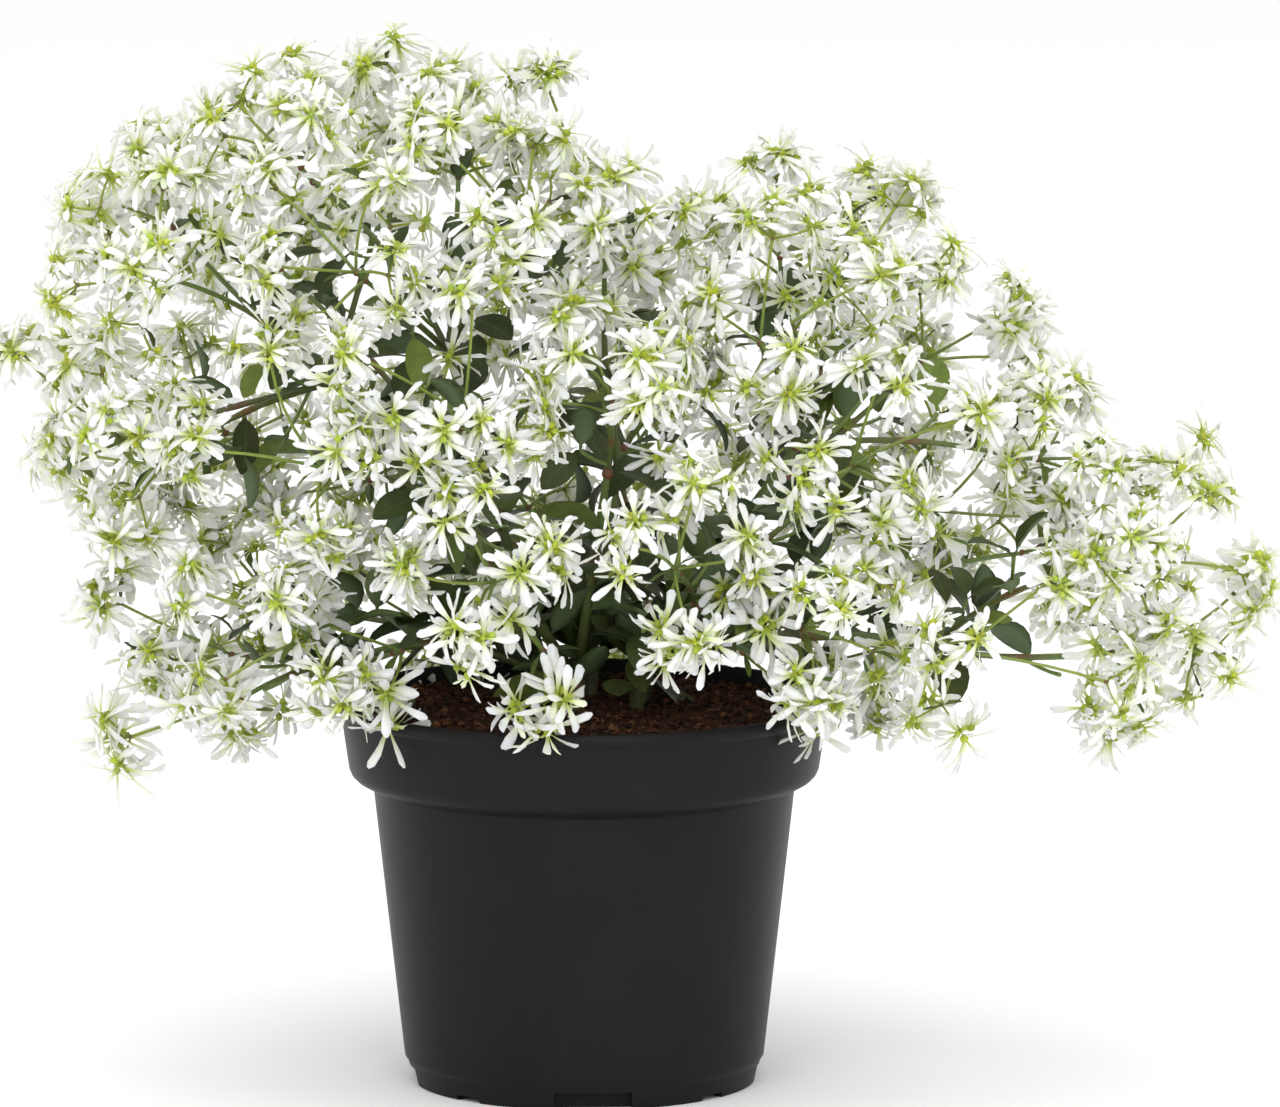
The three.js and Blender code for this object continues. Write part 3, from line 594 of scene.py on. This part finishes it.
def revolved(profile, sides):
    skin = Skin()
    angle = np.arange(sides) / sides * 2 * np.pi
    rows = [(r, z) for r, z in profile if r > 0]
    ring = np.array([[(r * math.cos(a), r * math.sin(a), z) for a in angle] for r, z in rows])
    points = np.concatenate([ring.reshape(-1, 3), [(0, 0, profile[0][1]), (0, 0, profile[-1][1])]])
    first, last = len(points) - 2, len(points) - 1
    quads = bands(len(rows), sides)[0]
    k = np.arange(sides)
    following = (k + 1) % sides
    start = np.stack([np.full(sides, first), following, k], axis=1)
    offset = (len(rows) - 1) * sides
    end = np.stack([np.full(sides, last), offset + k, offset + following], axis=1)
    skin.add(points[None], [quads, start, end], 0, (1, 1, 1))
    return skin


def prisms(shapes):
    """Closed prisms. A shape is (outline in x and z, low y, high y, degrees turned about z)."""
    skin = Skin()
    for outline, low, high, angle in shapes:
        count = len(outline)
        rings = [[(a, along, b) for a, b in outline] for along in (low, high)]
        points = np.array(rings, dtype=float).reshape(-1, 3)
        turn = math.radians(angle) + POT_TURN
        c, s = math.cos(turn), math.sin(turn)
        points = points @ np.array([[c, s, 0], [-s, c, 0], [0, 0, 1]])
        faces = [f[:, ::-1] for f in bands(2, count)]
        skin.add(points[None], faces, 0, (1, 1, 1))
    return skin


def box_outline(width, high, low=-2):
    return [(-width / 2, low), (width / 2, low), (width / 2, high), (-width / 2, high)]


def channel_outline(half_top, corner, top, steps=6):
    right = []
    for i in range(steps + 1):
        angle = math.pi + (i / steps) * math.pi / 2
        right.append((half_top + corner + corner * math.cos(angle), top + top * math.sin(angle)))
    right.append((half_top + corner, -2))
    left = [(-x, z) for x, z in reversed(right)]
    outline = left + right
    kept = [outline[0]]
    for point in outline[1:]:
        if math.dist(point, kept[-1]) > 1e-6:
            kept.append(point)
    return kept


def subtract(target, cutter):
    change = target.modifiers.new("cut", "BOOLEAN")
    change.operation = "DIFFERENCE"
    change.solver = "EXACT"
    change.use_self = True
    change.object = cutter
    graph = bpy.context.evaluated_depsgraph_get()
    cut = bpy.data.meshes.new_from_object(target.evaluated_get(graph))
    target.modifiers.clear()
    target.data = cut
    bpy.data.objects.remove(cutter)


def make_pot(plastic):
    pot = revolved(POT_OUTSIDE + POT_INSIDE, POT_SIDES).make("nursery_pot", [plastic], POT_SHARP)
    channel = channel_outline(CHANNEL_HALF_WIDTH, CHANNEL_CORNER, FOOT_HEIGHT)
    notches = []
    for quarter in QUARTERS:
        wide, narrow = box_outline(NOTCH_WIDTH, FOOT_HEIGHT), box_outline(*SMALL_NOTCH)
        notches.append((wide, FOOT_INNER_RADIUS, BEYOND, quarter))
        notches.append((narrow, FOOT_INNER_RADIUS, BEYOND, quarter + 45))
    for shapes in ([(channel, -BEYOND, BEYOND, 0)], [(channel, -BEYOND, BEYOND, 90)], notches):
        subtract(pot, prisms(shapes).make("cutter", []))
    drains = Skin()
    angle = np.radians(QUARTERS) + POT_TURN + math.pi / 2
    at = DRAIN_CENTRE_RADIUS * np.stack([np.cos(angle), np.sin(angle)], axis=1)
    low = np.column_stack([at, np.full(len(at), -3.0)])
    high = np.column_stack([at, np.full(len(at), 9.0)])
    radii = np.full((len(at), 2), DRAIN_RADIUS)
    tubes(drains, 0, low, (low + high) / 2, high, radii, 24, (1, 1, 1))
    subtract(pot, drains.make("cutter", []))
    pot.data.polygons.foreach_set("use_smooth", np.ones(len(pot.data.polygons), dtype=bool))
    pot.data.set_sharp_from_angle(angle=math.radians(POT_SHARP))
    return pot


def make_soil(earth):
    skin = Skin()
    rng = np.random.default_rng(SOIL_SEED)
    sides, rows, edge = 150, 44, SOIL_EDGE
    radius = edge * np.linspace(0, 1, rows + 1)[1:]
    rings = []
    for r in radius:
        ring = []
        for k in range(sides):
            angle = 2 * math.pi * k / sides
            x, y = r * math.cos(angle), r * math.sin(angle)
            lumps = noise.fractal(Vector((x * 0.16, y * 0.16, 3.1)), 0.9, 2.1, 4)
            fine = noise.fractal(Vector((x * 0.9, y * 0.9, 7.7)), 0.8, 2.0, 3)
            height = SOIL_TOP + SOIL_MOUND * (1 - (r / edge) ** 2) + 0.9 * lumps + 0.55 * fine
            if r > 58:
                height -= (r - 58) * 0.25
            ring.append((x, y, height))
        rings.append(ring)
    below = [(61.5, 94.0), (59.2, 83.2), (58.0, 81.4), (53.3, 79.0), (45.4, 9.0), (43.5, 6.6)]
    for r, z in below:
        angles = [2 * math.pi * k / sides for k in range(sides)]
        rings.append([(r * math.cos(a), r * math.sin(a), z) for a in angles])
    points = np.array(rings).reshape(-1, 3)
    points = np.concatenate([points, [(0, 0, SOIL_TOP + SOIL_MOUND), (0, 0, 6.6)]])
    first, last = len(points) - 2, len(points) - 1
    quads = bands(len(rings), sides)[0][:, ::-1]
    k = np.arange(sides)
    following = (k + 1) % sides
    start = np.stack([np.full(sides, first), k, following], axis=1)
    offset = (len(rings) - 1) * sides
    end = np.stack([np.full(sides, last), offset + following, offset + k], axis=1)
    ground = np.array([0.05, 0.019, 0.010])
    skin.add(points[None], [quads, start, end], 0, ground)

    def ground_at(x, y):
        r = np.hypot(x, y)
        return SOIL_TOP + SOIL_MOUND * (1 - (r / edge) ** 2)

    # Crumbs of peat and bits of coir fibre lie all over it.
    count = 3000
    r = np.sqrt(rng.random(count)) * 60.4
    a = rng.random(count) * 2 * np.pi
    x, y = r * np.cos(a), r * np.sin(a)
    size = 0.35 + 1.1 * rng.random(count) ** 2.5
    corners = np.array(
        [(1, 0, 0), (0, 1, 0), (-1, 0, 0), (0, -1, 0), (0.1, 0.1, 0.8), (-0.1, 0, -0.8)], dtype=float
    )
    jitter = 1 + 0.5 * (rng.random((count, 6, 3)) - 0.5)
    shapes = corners[None] * jitter * size[:, None, None]
    turn = rng.random(count) * 2 * np.pi
    c, s = np.cos(turn), np.sin(turn)
    turned = np.stack(
        [
            shapes[..., 0] * c[:, None] - shapes[..., 1] * s[:, None],
            shapes[..., 0] * s[:, None] + shapes[..., 1] * c[:, None],
            shapes[..., 2] + 0.5 * shapes[..., 0] * (rng.random(count)[:, None] - 0.5),
        ],
        axis=-1,
    )
    centre = np.stack([x, y, ground_at(x, y) + 0.35 + 0.5 * rng.random(count)], axis=-1)
    tris = np.array(
        [(0, 1, 4), (1, 2, 4), (2, 3, 4), (3, 0, 4), (1, 0, 5), (2, 1, 5), (3, 2, 5), (0, 3, 5)]
    )
    kinds = np.array(
        [(0.022, 0.010, 0.006), (0.055, 0.020, 0.010), (0.10, 0.038, 0.017), (0.17, 0.075, 0.032)]
    )
    tint = kinds[rng.choice(4, count, p=[0.35, 0.35, 0.2, 0.1])][:, None]
    skin.add(turned + centre[:, None], [tris], 0, tint)
    count = 1200
    r = np.sqrt(rng.random(count)) * 58
    a = rng.random(count) * 2 * np.pi
    x, y = r * np.cos(a), r * np.sin(a)
    length = 2 + 5 * rng.random(count) ** 2
    turn = rng.random(count) * 2 * np.pi
    slope = (rng.random(count) - 0.5) * 0.7
    half = np.stack([np.cos(turn), np.sin(turn), slope], axis=-1) * length[:, None] / 2
    centre = np.stack([x, y, ground_at(x, y) + 0.7 + 0.5 * rng.random(count)], axis=-1)
    bow = (rng.random((count, 3)) - 0.5) * length[:, None] * 0.8
    thick = (0.07 + 0.16 * rng.random(count) ** 2)[:, None] * np.array([0.6, 1, 0.5])
    tint = kinds[rng.choice(4, count, p=[0.2, 0.3, 0.3, 0.2])][:, None]
    tubes(skin, 0, centre - half, centre + bow, centre + half, thick, 3, tint)
    return skin.make("soil_surface", [earth], sharp=60)


# The plant

BRACT_SHAPE = {
    "stations": (0, 0.28, 0.6, 0.88, 1.0),
    "widths": (0.22, 0.44, 0.92, 0.92, 0.34),
}
PLAINER_BRACT_SHAPE = {
    "stations": (0, 0.4, 0.82, 1.0),
    "widths": (0.22, 0.66, 0.98, 0.4),
}
LEAF_SHAPE = {
    "stations": (0, 0.1, 0.18, 0.3, 0.44, 0.6, 0.75, 0.88, 0.97, 1.0),
    "widths": (0.09, 0.12, 0.46, 0.82, 0.99, 0.98, 0.82, 0.54, 0.2, 0.05),
}
LEAFLET_SHAPE = {
    "stations": (0, 0.2, 0.45, 0.7, 0.9, 1.0),
    "widths": (0.16, 0.30, 0.9, 1.0, 0.55, 0.08),
}


def tone(rng, count, colour, amount):
    """Colours round one colour, lighter and darker, warmer and cooler."""
    light = 1 + amount * (2 * rng.random((count, 1)) - 1)
    warm = 1 + 0.4 * amount * (2 * rng.random((count, 1)) - 1) * np.array([[1, 0, -1]])
    return np.asarray(colour) * light * warm


def add_leaves(skin, slot, rng, root, aim, length, half, young_share, small=False):
    n = len(root)
    level = np.cross(aim, np.cross([0, 0, 1.0], aim))
    face = unit(level + (rng.random((n, 3)) - 0.5) * 0.9)
    # Leaves just over the soil stay level.
    bend = (0.3 + 0.8 * rng.random(n)) * np.where(root[:, 2] < 114, -0.2, 1.0)
    shape = dict(
        LEAFLET_SHAPE if small else LEAF_SHAPE,
        bend=bend,
        lift=0.3 * rng.random(n),
        cup=0.12 + 0.4 * rng.random(n),
        twist=(rng.random(n) - 0.5) * 1.1,
        wave=0.02 + 0.08 * rng.random(n),
        thick=np.full(n, 0.3 if small else 0.42),
    )
    tints = tone(rng, n, LEAF_DARK, 0.3)
    young = rng.random(n) < young_share
    tints[young] = tone(rng, int(young.sum()), LEAF_YOUNG, 0.3)
    columns = 3 if small else 5
    blades(skin, slot, root, aim, face, length, half, shape, columns, tints, rng.random(n))


def leaf_spots(cuttings, stems):
    """Where the leaves of each cutting are, by the part's own rule."""
    spots = []
    for i, stem in enumerate(stems):
        curve = stem["curve"]
        for t, count, seed in ((1, 2, KNUCKLE_LEAF_SEED + i), (0.55, 1, STEM_LEAF_SEED + i)):
            spots.append((stem["cutting"], curve_point(curve, t), curve_aim(curve, t), count, seed))
    for k, cutting in enumerate(cuttings):
        spots.append((k, cutting["crotch"], cutting["side"], 2, CROTCH_LEAF_SEED + k))
    made = [[] for _ in cuttings]
    for cutting, point, along, count, seed in spots:
        draw = random_from(seed)
        side, up = across_of(along)
        for i in range(count):
            length = LEAF_LENGTH[0] + (LEAF_LENGTH[1] - LEAF_LENGTH[0]) * draw()
            angle = (i / count + 0.2 * draw()) * 2 * math.pi
            aim = along * 0.45 + side * math.cos(angle) + up * math.sin(angle)
            aim = aim * np.array([1, 1, 0.6])
            made[cutting].append((point, unit(aim), length))
    return made


def hangs_low(root, aim, length):
    """Whether a leaf would lie on the soil, or hang out beyond the pot and below the crown."""
    x, y, z = root + aim * length
    return z < (112 if math.hypot(x, y) > 58 else 109)


def make_cutting(k, cutting, stems, sprays, spots, bark, green):
    rng = np.random.default_rng(CUTTING_SEED + k)
    skin = Skin()
    bottom, crotch = cutting["bottom"], cutting["crotch"]
    swell = np.array([1.0, 1.0, 1.15, 1.02, 0.96, 0.95, 1.02, 1.12]) * 0.94
    shades = np.linspace(0, 1, 8)[:, None] * (np.array(STEM_GREEN) - WOOD) + WOOD
    top = crotch + [0, 0, 1]
    tubes(skin, 0, bottom, (bottom + crotch) / 2, top, 2.25 * swell[None], 10, shades[None])
    own = [s for s in stems if s["cutting"] == k]
    knots(skin, 0, crotch, np.array([0, 0, 1.0]), 2.4, 5, KNUCKLE, 10)
    leaves = list(spots)
    for stem in own:
        start, bend, end = stem["curve"]
        count = 15
        t = np.linspace(0, 1, count)
        radii = 1.6 - 0.6 * t + 0.25 * np.exp(-((t - 0.55) / 0.035) ** 2)
        mix = np.clip(t * 1.3, 0, 1)[:, None]
        shades = np.array(STEM_GREEN) * (1 - mix) + np.array(TWIG_GREEN) * 0.75 * mix
        ring = np.exp(-((t - 0.55) / 0.05) ** 2)[:, None]
        shades = shades * (1 - 0.8 * ring) + np.array(KNUCKLE) * 0.8 * ring
        tubes(skin, 0, start, bend, end, radii[None], 9, shades[None])
        aim = curve_aim(stem["curve"], 1)
        knots(skin, 0, end, aim, 1.6, 3.2, KNUCKLE, 9)
        for at in (0.1, 0.22, 0.33, 0.44, 0.66, 0.84):
            side, up = across_of(curve_aim(stem["curve"], at))
            first = rng.random() * math.pi
            for turn in (first, first + math.pi):
                along = curve_aim(stem["curve"], at)
                toward = along * 0.5 + side * math.cos(turn) + up * math.sin(turn)
                if rng.random() < (0.95 if at < 0.5 else 0.5):
                    point = curve_point(stem["curve"], at)
                    leaves.append((point, unit(toward), 14 + 7 * rng.random()))
        for spray in (s for s in sprays if stems[s["stem"]] is stem):
            joint = spray["joint"]
            span = np.linalg.norm(joint - end)
            side, up = across_of(unit(joint - end))
            bow = (side * (rng.random() - 0.5) + up * (rng.random() - 0.3)) * span * 0.22
            middle = (end + joint) / 2 + bow
            count = 13
            t = np.linspace(0, 1, count)
            radii = 0.92 - 0.3 * t + 0.2 * np.exp(-((t - 0.5) / 0.045) ** 2)
            shades = np.array(STEM_GREEN) * (1 - t[:, None]) + np.array(TWIG_GREEN) * t[:, None]
            ring = np.exp(-((t - 0.5) / 0.06) ** 2)[:, None]
            shades = shades * (1 - 0.85 * ring) + np.array(KNUCKLE) * 0.85 * ring
            tubes(skin, 0, end, middle, joint, radii[None], 7, shades[None])
            knots(skin, 0, joint, spray["along"], 0.95, 2.0, KNUCKLE)
            # Leaves where the twig has its own knuckle and at its end, and a side twig with more.
            curve = (end, middle, joint)
            for at, chance, small in ((0.28, 0.35, 0.8), (0.5, 0.5, 0.75), (0.97, 0.45, 0.65)):
                turn = rng.random() * 2 * math.pi
                chosen, share = rng.random() < chance, rng.random()
                if not chosen:
                    continue
                aim = curve_aim(curve, at) * 0.6 + side * math.cos(turn) + up * math.sin(turn)
                leaves.append((curve_point(curve, at), unit(aim), small * (16 + 7 * share)))
            for at in (0.12, 0.5):
                turn = rng.random() * 2 * math.pi
                start, aim = curve_point(curve, at), curve_aim(curve, at)
                aim = unit(aim * 0.9 + side * math.cos(turn) + up * math.sin(turn))
                tip = start + aim * (9 + 9 * rng.random())
                low = (start + tip) / 2 - [0, 0, 1.2]
                radii = np.array([[0.62, 0.55, 0.5, 0.5, 0.62]])
                tubes(skin, 0, start, low, tip, radii, 6, TWIG_GREEN)
                level, above = across_of(aim)
                first = rng.random() * 2 * math.pi
                for further in (0, 2.8):
                    turn = first + further + 0.5 * rng.random()
                    toward = aim * 0.8 + level * math.cos(turn) + above * math.sin(turn)
                    leaves.append((tip, unit(toward), 9 + 8 * rng.random()))
    leaves = [spot for n, spot in enumerate(leaves) if n < len(spots) or not hangs_low(*spot)]
    root = np.array([spot[0] for spot in leaves])
    aim = np.array([spot[1] for spot in leaves])
    length = np.array([spot[2] for spot in leaves]) + 1
    half = length * (0.22 + 0.06 * rng.random(len(leaves)))
    add_leaves(skin, 1, rng, root, aim, length, half, 0.22)
    return skin.make(f"cutting_{k + 1}", [bark, green])


def between(low_high, share):
    low, high = low_high
    return low + (high - low) * share


def add_heads(skin, rng, heads, axes, full, outline, size_of_bracts):
    """Heads of cyathia, and the bracts of each cyathium. Heads out on the crown are full."""
    at, cup_axes, owners, bracts = [], [], [], []
    for head, main in zip(heads, axes):
        side, up = across_of(main)
        count = (5 if full else 4) + int(rng.random() < 0.6) + int(full and rng.random() < 0.08)
        first = rng.random() * 2 * math.pi
        for c in range(count):
            turn = first + (c + 0.5 * (rng.random() - 0.5)) / (count - 1) * 2 * math.pi
            tilt = math.radians(10 * rng.random() if c == 0 else 62 + 36 * (rng.random() - 0.5))
            level = side * math.cos(turn) + up * math.sin(turn)
            aim = main * math.cos(tilt) + level * math.sin(tilt)
            centre = head + aim * (1.4 + 1.5 * rng.random())
            at.append(centre)
            cup_axes.append(aim)
            owners.append(head)
            around, above = across_of(aim)
            outward = aim - main * (aim @ main)
            own = (5 if c == 0 else 3) + int(c > 0 and rng.random() < 0.62) + int(rng.random() < 0.2)
            apart = 2 * math.pi / own if c == 0 else 0.95
            middle = math.atan2(outward @ above, outward @ around)
            angles = middle + (np.arange(own) - (own - 1) / 2) * apart
            for angle in angles + (rng.random(own) - 0.5) * 0.9:
                level = around * math.cos(angle) + above * math.sin(angle)
                tilt = math.radians(36 + 66 * rng.random())
                bract_aim = unit(aim * math.cos(tilt) + level * math.sin(tilt) + [0, 0, -0.12])
                bracts.append((centre + bract_aim * 0.4, bract_aim, unit(aim + main * 0.6)))
    at, cup_axes, owners = np.array(at), np.array(cup_axes), np.array(owners)
    n = len(at)
    size = 0.78 + 0.3 * rng.random(n)
    share = np.array([0.5, 1.0, 1.0, 0.5])
    limes = np.array([0.4, 0.9, 1, 0.3])[:, None]
    shades = np.array(LIME_DEEP) + (np.array(LIME) - LIME_DEEP) * limes
    shades = shades[None] * tone(rng, n, (1, 1, 1), 0.3)[:, None]
    low, high = at - cup_axes * 0.9, at + cup_axes * 1.2
    tubes(skin, 0, low, at, high, size[:, None] * share, 4, shades, (0, 0.3, 0.75, 1))
    tubes(skin, 0, owners, (owners + at) / 2, at, np.array([[0.24, 0.24]]), 3, np.array(LIME) * 0.8)
    root, aim, face = (np.array(column) for column in zip(*bracts))
    n = len(root)
    length = between(BRACT_LENGTH, rng.random(n)) * size_of_bracts
    width = between(BRACT_WIDTH, rng.random(n)) * size_of_bracts
    small = rng.random(n) < 0.12
    length = np.where(small, length * 0.6, length)
    width = np.where(small, width * 0.7, width)
    shape = dict(
        outline,
        bend=-0.15 + 1.15 * rng.random(n),
        lift=0.25 * rng.random(n),
        cup=0.05 + 0.5 * rng.random(n),
        twist=(rng.random(n) - 0.5) * 1.8,
        wave=0.02 + 0.12 * rng.random(n),
        thick=np.full(n, 0.24),
    )
    tints = tone(rng, n, (0.97, 0.97, 0.97), 0.04)
    tints[small] = tints[small] * np.array([0.86, 0.97, 0.66])
    blades(skin, 1, root, aim, face, length, width / 2, shape, 3, tints, rng.random(n))


def make_spray(i, spray, bark, white, green):
    rng = np.random.default_rng(SPRAY_DRESS_SEED + i)
    skin = Skin()
    fork, along, joint, cymes = spray["fork"], spray["along"], spray["joint"], spray["cymes"]
    hanging = i >= SPRAYS - len(HANGING)
    behind = spray["direction"][1] > 0.12
    twig, lime = np.array(TWIG_GREEN), np.array(LIME)
    tubes(skin, 0, joint, (joint + fork) / 2, fork, np.full((1, 4), 0.58), 7, twig)
    knots(skin, 0, fork, along, 0.95, 2.0, KNUCKLE)

    # The stalks of the cymes, and of two more that stand further in.
    foot, tops = [fork] * len(cymes), list(cymes)
    low_in_front = spray["direction"][2] < 0.3 and spray["direction"][1] < -0.3
    if not hanging and not low_in_front:
        side, up = across_of(spray["direction"])
        first = rng.random() * 2 * math.pi
        for turn in (first, first + math.pi + rng.random() - 0.5):
            level = side * math.cos(turn) + up * math.sin(turn)
            deeper = spray["direction"] * (10 * rng.random() - 3)
            foot.append(joint)
            tops.append(joint + level * (11 + 6 * rng.random()) + deeper)
    foot, tops = np.array(foot), np.array(tops)
    span = np.linalg.norm(tops - foot, axis=1, keepdims=True)
    middle = (foot + tops) / 2 + along * span * 0.10 + (rng.random(tops.shape) - 0.5) * span * 0.14
    radii = np.array([0.52, 0.46, 0.43, 0.41, 0.41, 0.45])
    shades = twig * 1.0 + (lime * 0.75 - twig) * np.linspace(0, 0.7, 6)[:, None]
    tubes(skin, 0, foot, middle, tops, radii[None], 6, shades[None])
    axis = unit(tops - middle)
    knots(skin, 0, tops, axis, 0.68, 1.4, np.array(KNUCKLE) * 0.6 + twig * 0.4, 6)

    # Rays from each cyme to its heads, and narrow leaflets under them and at the fork.
    heads, head_axes, rays_from, full, leaflets = [], [], [], [], []
    for j, top in enumerate(tops):
        inner = j >= len(cymes)
        count = 2 if inner else 4 if rng.random() < SHARE_OF_FOURS and not hanging else 3
        if behind and not inner:
            count += 1
        side, up = across_of(axis[j])
        first = rng.random() * 2 * math.pi
        for h in range(count):
            turn = first + (h + 0.5 * (rng.random() - 0.5)) / min(count, 3) * 2 * math.pi
            tilt = math.radians(60 + 28 * (rng.random() - 0.5))
            if h == 3:
                tilt *= 0.2
            level = side * math.cos(turn) + up * math.sin(turn)
            aim = axis[j] * math.cos(tilt) + level * math.sin(tilt)
            heads.append(top + aim * between(RAY_LENGTH, rng.random()))
            head_axes.append(unit(aim + axis[j] * 0.35))
            rays_from.append(top)
            full.append(not inner)
        for turn in (first + 1, first + 1 + math.pi):
            if rng.random() < 0.6:
                leaflets.append((top, axis[j] * 0.4 + side * math.cos(turn) + up * math.sin(turn)))
    side, up = across_of(along)
    for turn in (0.6, 0.6 + math.pi):
        leaflets.append((fork, along * 0.5 + side * math.cos(turn) + up * math.sin(turn)))
    heads, head_axes, rays_from = np.array(heads), np.array(head_axes), np.array(rays_from)
    middle = (heads + rays_from) / 2 + (rng.random(heads.shape) - 0.5) * 1.6
    shades = lime * np.linspace(0.55, 0.85, 4)[:, None]
    tubes(skin, 0, rays_from, middle, heads, np.array([[0.36, 0.31, 0.30, 0.34]]), 4, shades[None])
    n = len(leaflets)
    length = 6.5 + 5 * rng.random(n)
    half = length * (0.10 + 0.05 * rng.random(n))
    root = np.array([at for at, _ in leaflets])
    aim = unit(np.array([toward for _, toward in leaflets]))
    add_leaves(skin, 2, rng, root, aim, length, half, 0.75, small=True)
    full = np.array(full)
    outline = PLAINER_BRACT_SHAPE if behind else BRACT_SHAPE
    add_heads(skin, rng, heads[full], head_axes[full], True, outline, 1.2 if hanging else 1.0)
    if not full.all():
        add_heads(skin, rng, heads[~full], head_axes[~full], False, PLAINER_BRACT_SHAPE, 0.95)
    return skin.make(f"spray_{i + 1:02d}", [bark, white, green])


directions = crown_directions()
cuttings = plan_cuttings()
stems = plan_stems(cuttings, directions)
sprays = plan_sprays(stems, directions)

plastic, earth = pot_material(), soil_material()
bark, green, white = stem_material(), leaf_material(), bract_material()


def place(piece, replaced, slot):
    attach(piece, "root")
    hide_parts(replaced)


place(make_pot(plastic), "pot", "pot_plastic")
place(make_soil(earth), "soil", "potting_soil")
spots = leaf_spots(cuttings, stems)
for k, cutting in enumerate(cuttings):
    piece = make_cutting(k, cutting, stems, sprays, spots[k], bark, green)
    place(piece, f"leafy_cutting_{k + 1}", "leaf_and_stem")
for i, spray in enumerate(sprays):
    place(make_spray(i, spray, bark, white, green), f"flower_spray_{i + 1:02d}", "flower_bract")


# Floor, light and camera


def make_stage():
    """A wide pale floor, as white as the world above it, so that no edge shows."""
    half = 20.0
    corners = [(-half, -half, 0), (half, -half, 0), (half, half, 0), (-half, half, 0)]
    mesh = bpy.data.meshes.new("floor")
    mesh.from_pydata(corners, [], [(0, 1, 2, 3)])
    made = bpy.data.objects.new("floor", mesh)
    bpy.context.scene.collection.objects.link(made)
    paper, nodes, links, shader = material("floor_paper", Roughness=0.9)
    shader.inputs["Base Color"].default_value = (0.93, 0.93, 0.93, 1)
    made.data.materials.append(paper)


def area_light(name, place, aim, size, power, colour=(1, 1, 1)):
    data = bpy.data.lights.new(name, "AREA")
    data.shape = "DISK"
    data.size = size
    data.energy = power
    data.color = colour
    made = bpy.data.objects.new(name, data)
    made.location = place
    made.rotation_mode = "QUATERNION"
    made.rotation_quaternion = (Vector(aim) - Vector(place)).to_track_quat("-Z", "Y")
    bpy.context.scene.collection.objects.link(made)


def make_world():
    world = bpy.data.worlds.new("studio")
    world.use_nodes = True
    background = world.node_tree.nodes["Background"]
    background.inputs["Color"].default_value = (1, 1, 1, 1)
    background.inputs["Strength"].default_value = 1.0
    bpy.context.scene.world = world


def make_camera():
    """The photograph's view. Its middle is 56 px right of the pot's axis, 527.5 px above its foot."""
    scale, distance, elevation = 0.2621 * MM, 3.0, math.radians(8.4)
    data = bpy.data.cameras.new("camera")
    data.sensor_width = 36
    data.lens = 36 * distance / (1280 * scale)
    data.clip_end = 100
    made = bpy.data.objects.new("camera", data)
    middle = Vector((56 * scale, 0, 527.5 * scale / math.cos(elevation)))
    back = Vector((0, -math.cos(elevation), math.sin(elevation)))
    made.location = middle + back * distance
    made.rotation_mode = "QUATERNION"
    made.rotation_quaternion = (-back).to_track_quat("-Z", "Y")
    bpy.context.scene.collection.objects.link(made)
    bpy.context.scene.camera = made


make_stage()
make_world()
area_light("key", (-0.4, -2.1, 1.5), (0, 0, 0.15), 2.0, 20)
area_light("fill", (0.8, -2.2, 0.8), (0, 0, 0.15), 2.0, 12)
area_light("top", (0, -0.3, 2.2), (0, 0, 0.15), 1.8, 12)
make_camera()
bpy.context.scene.view_settings.view_transform = "Standard"
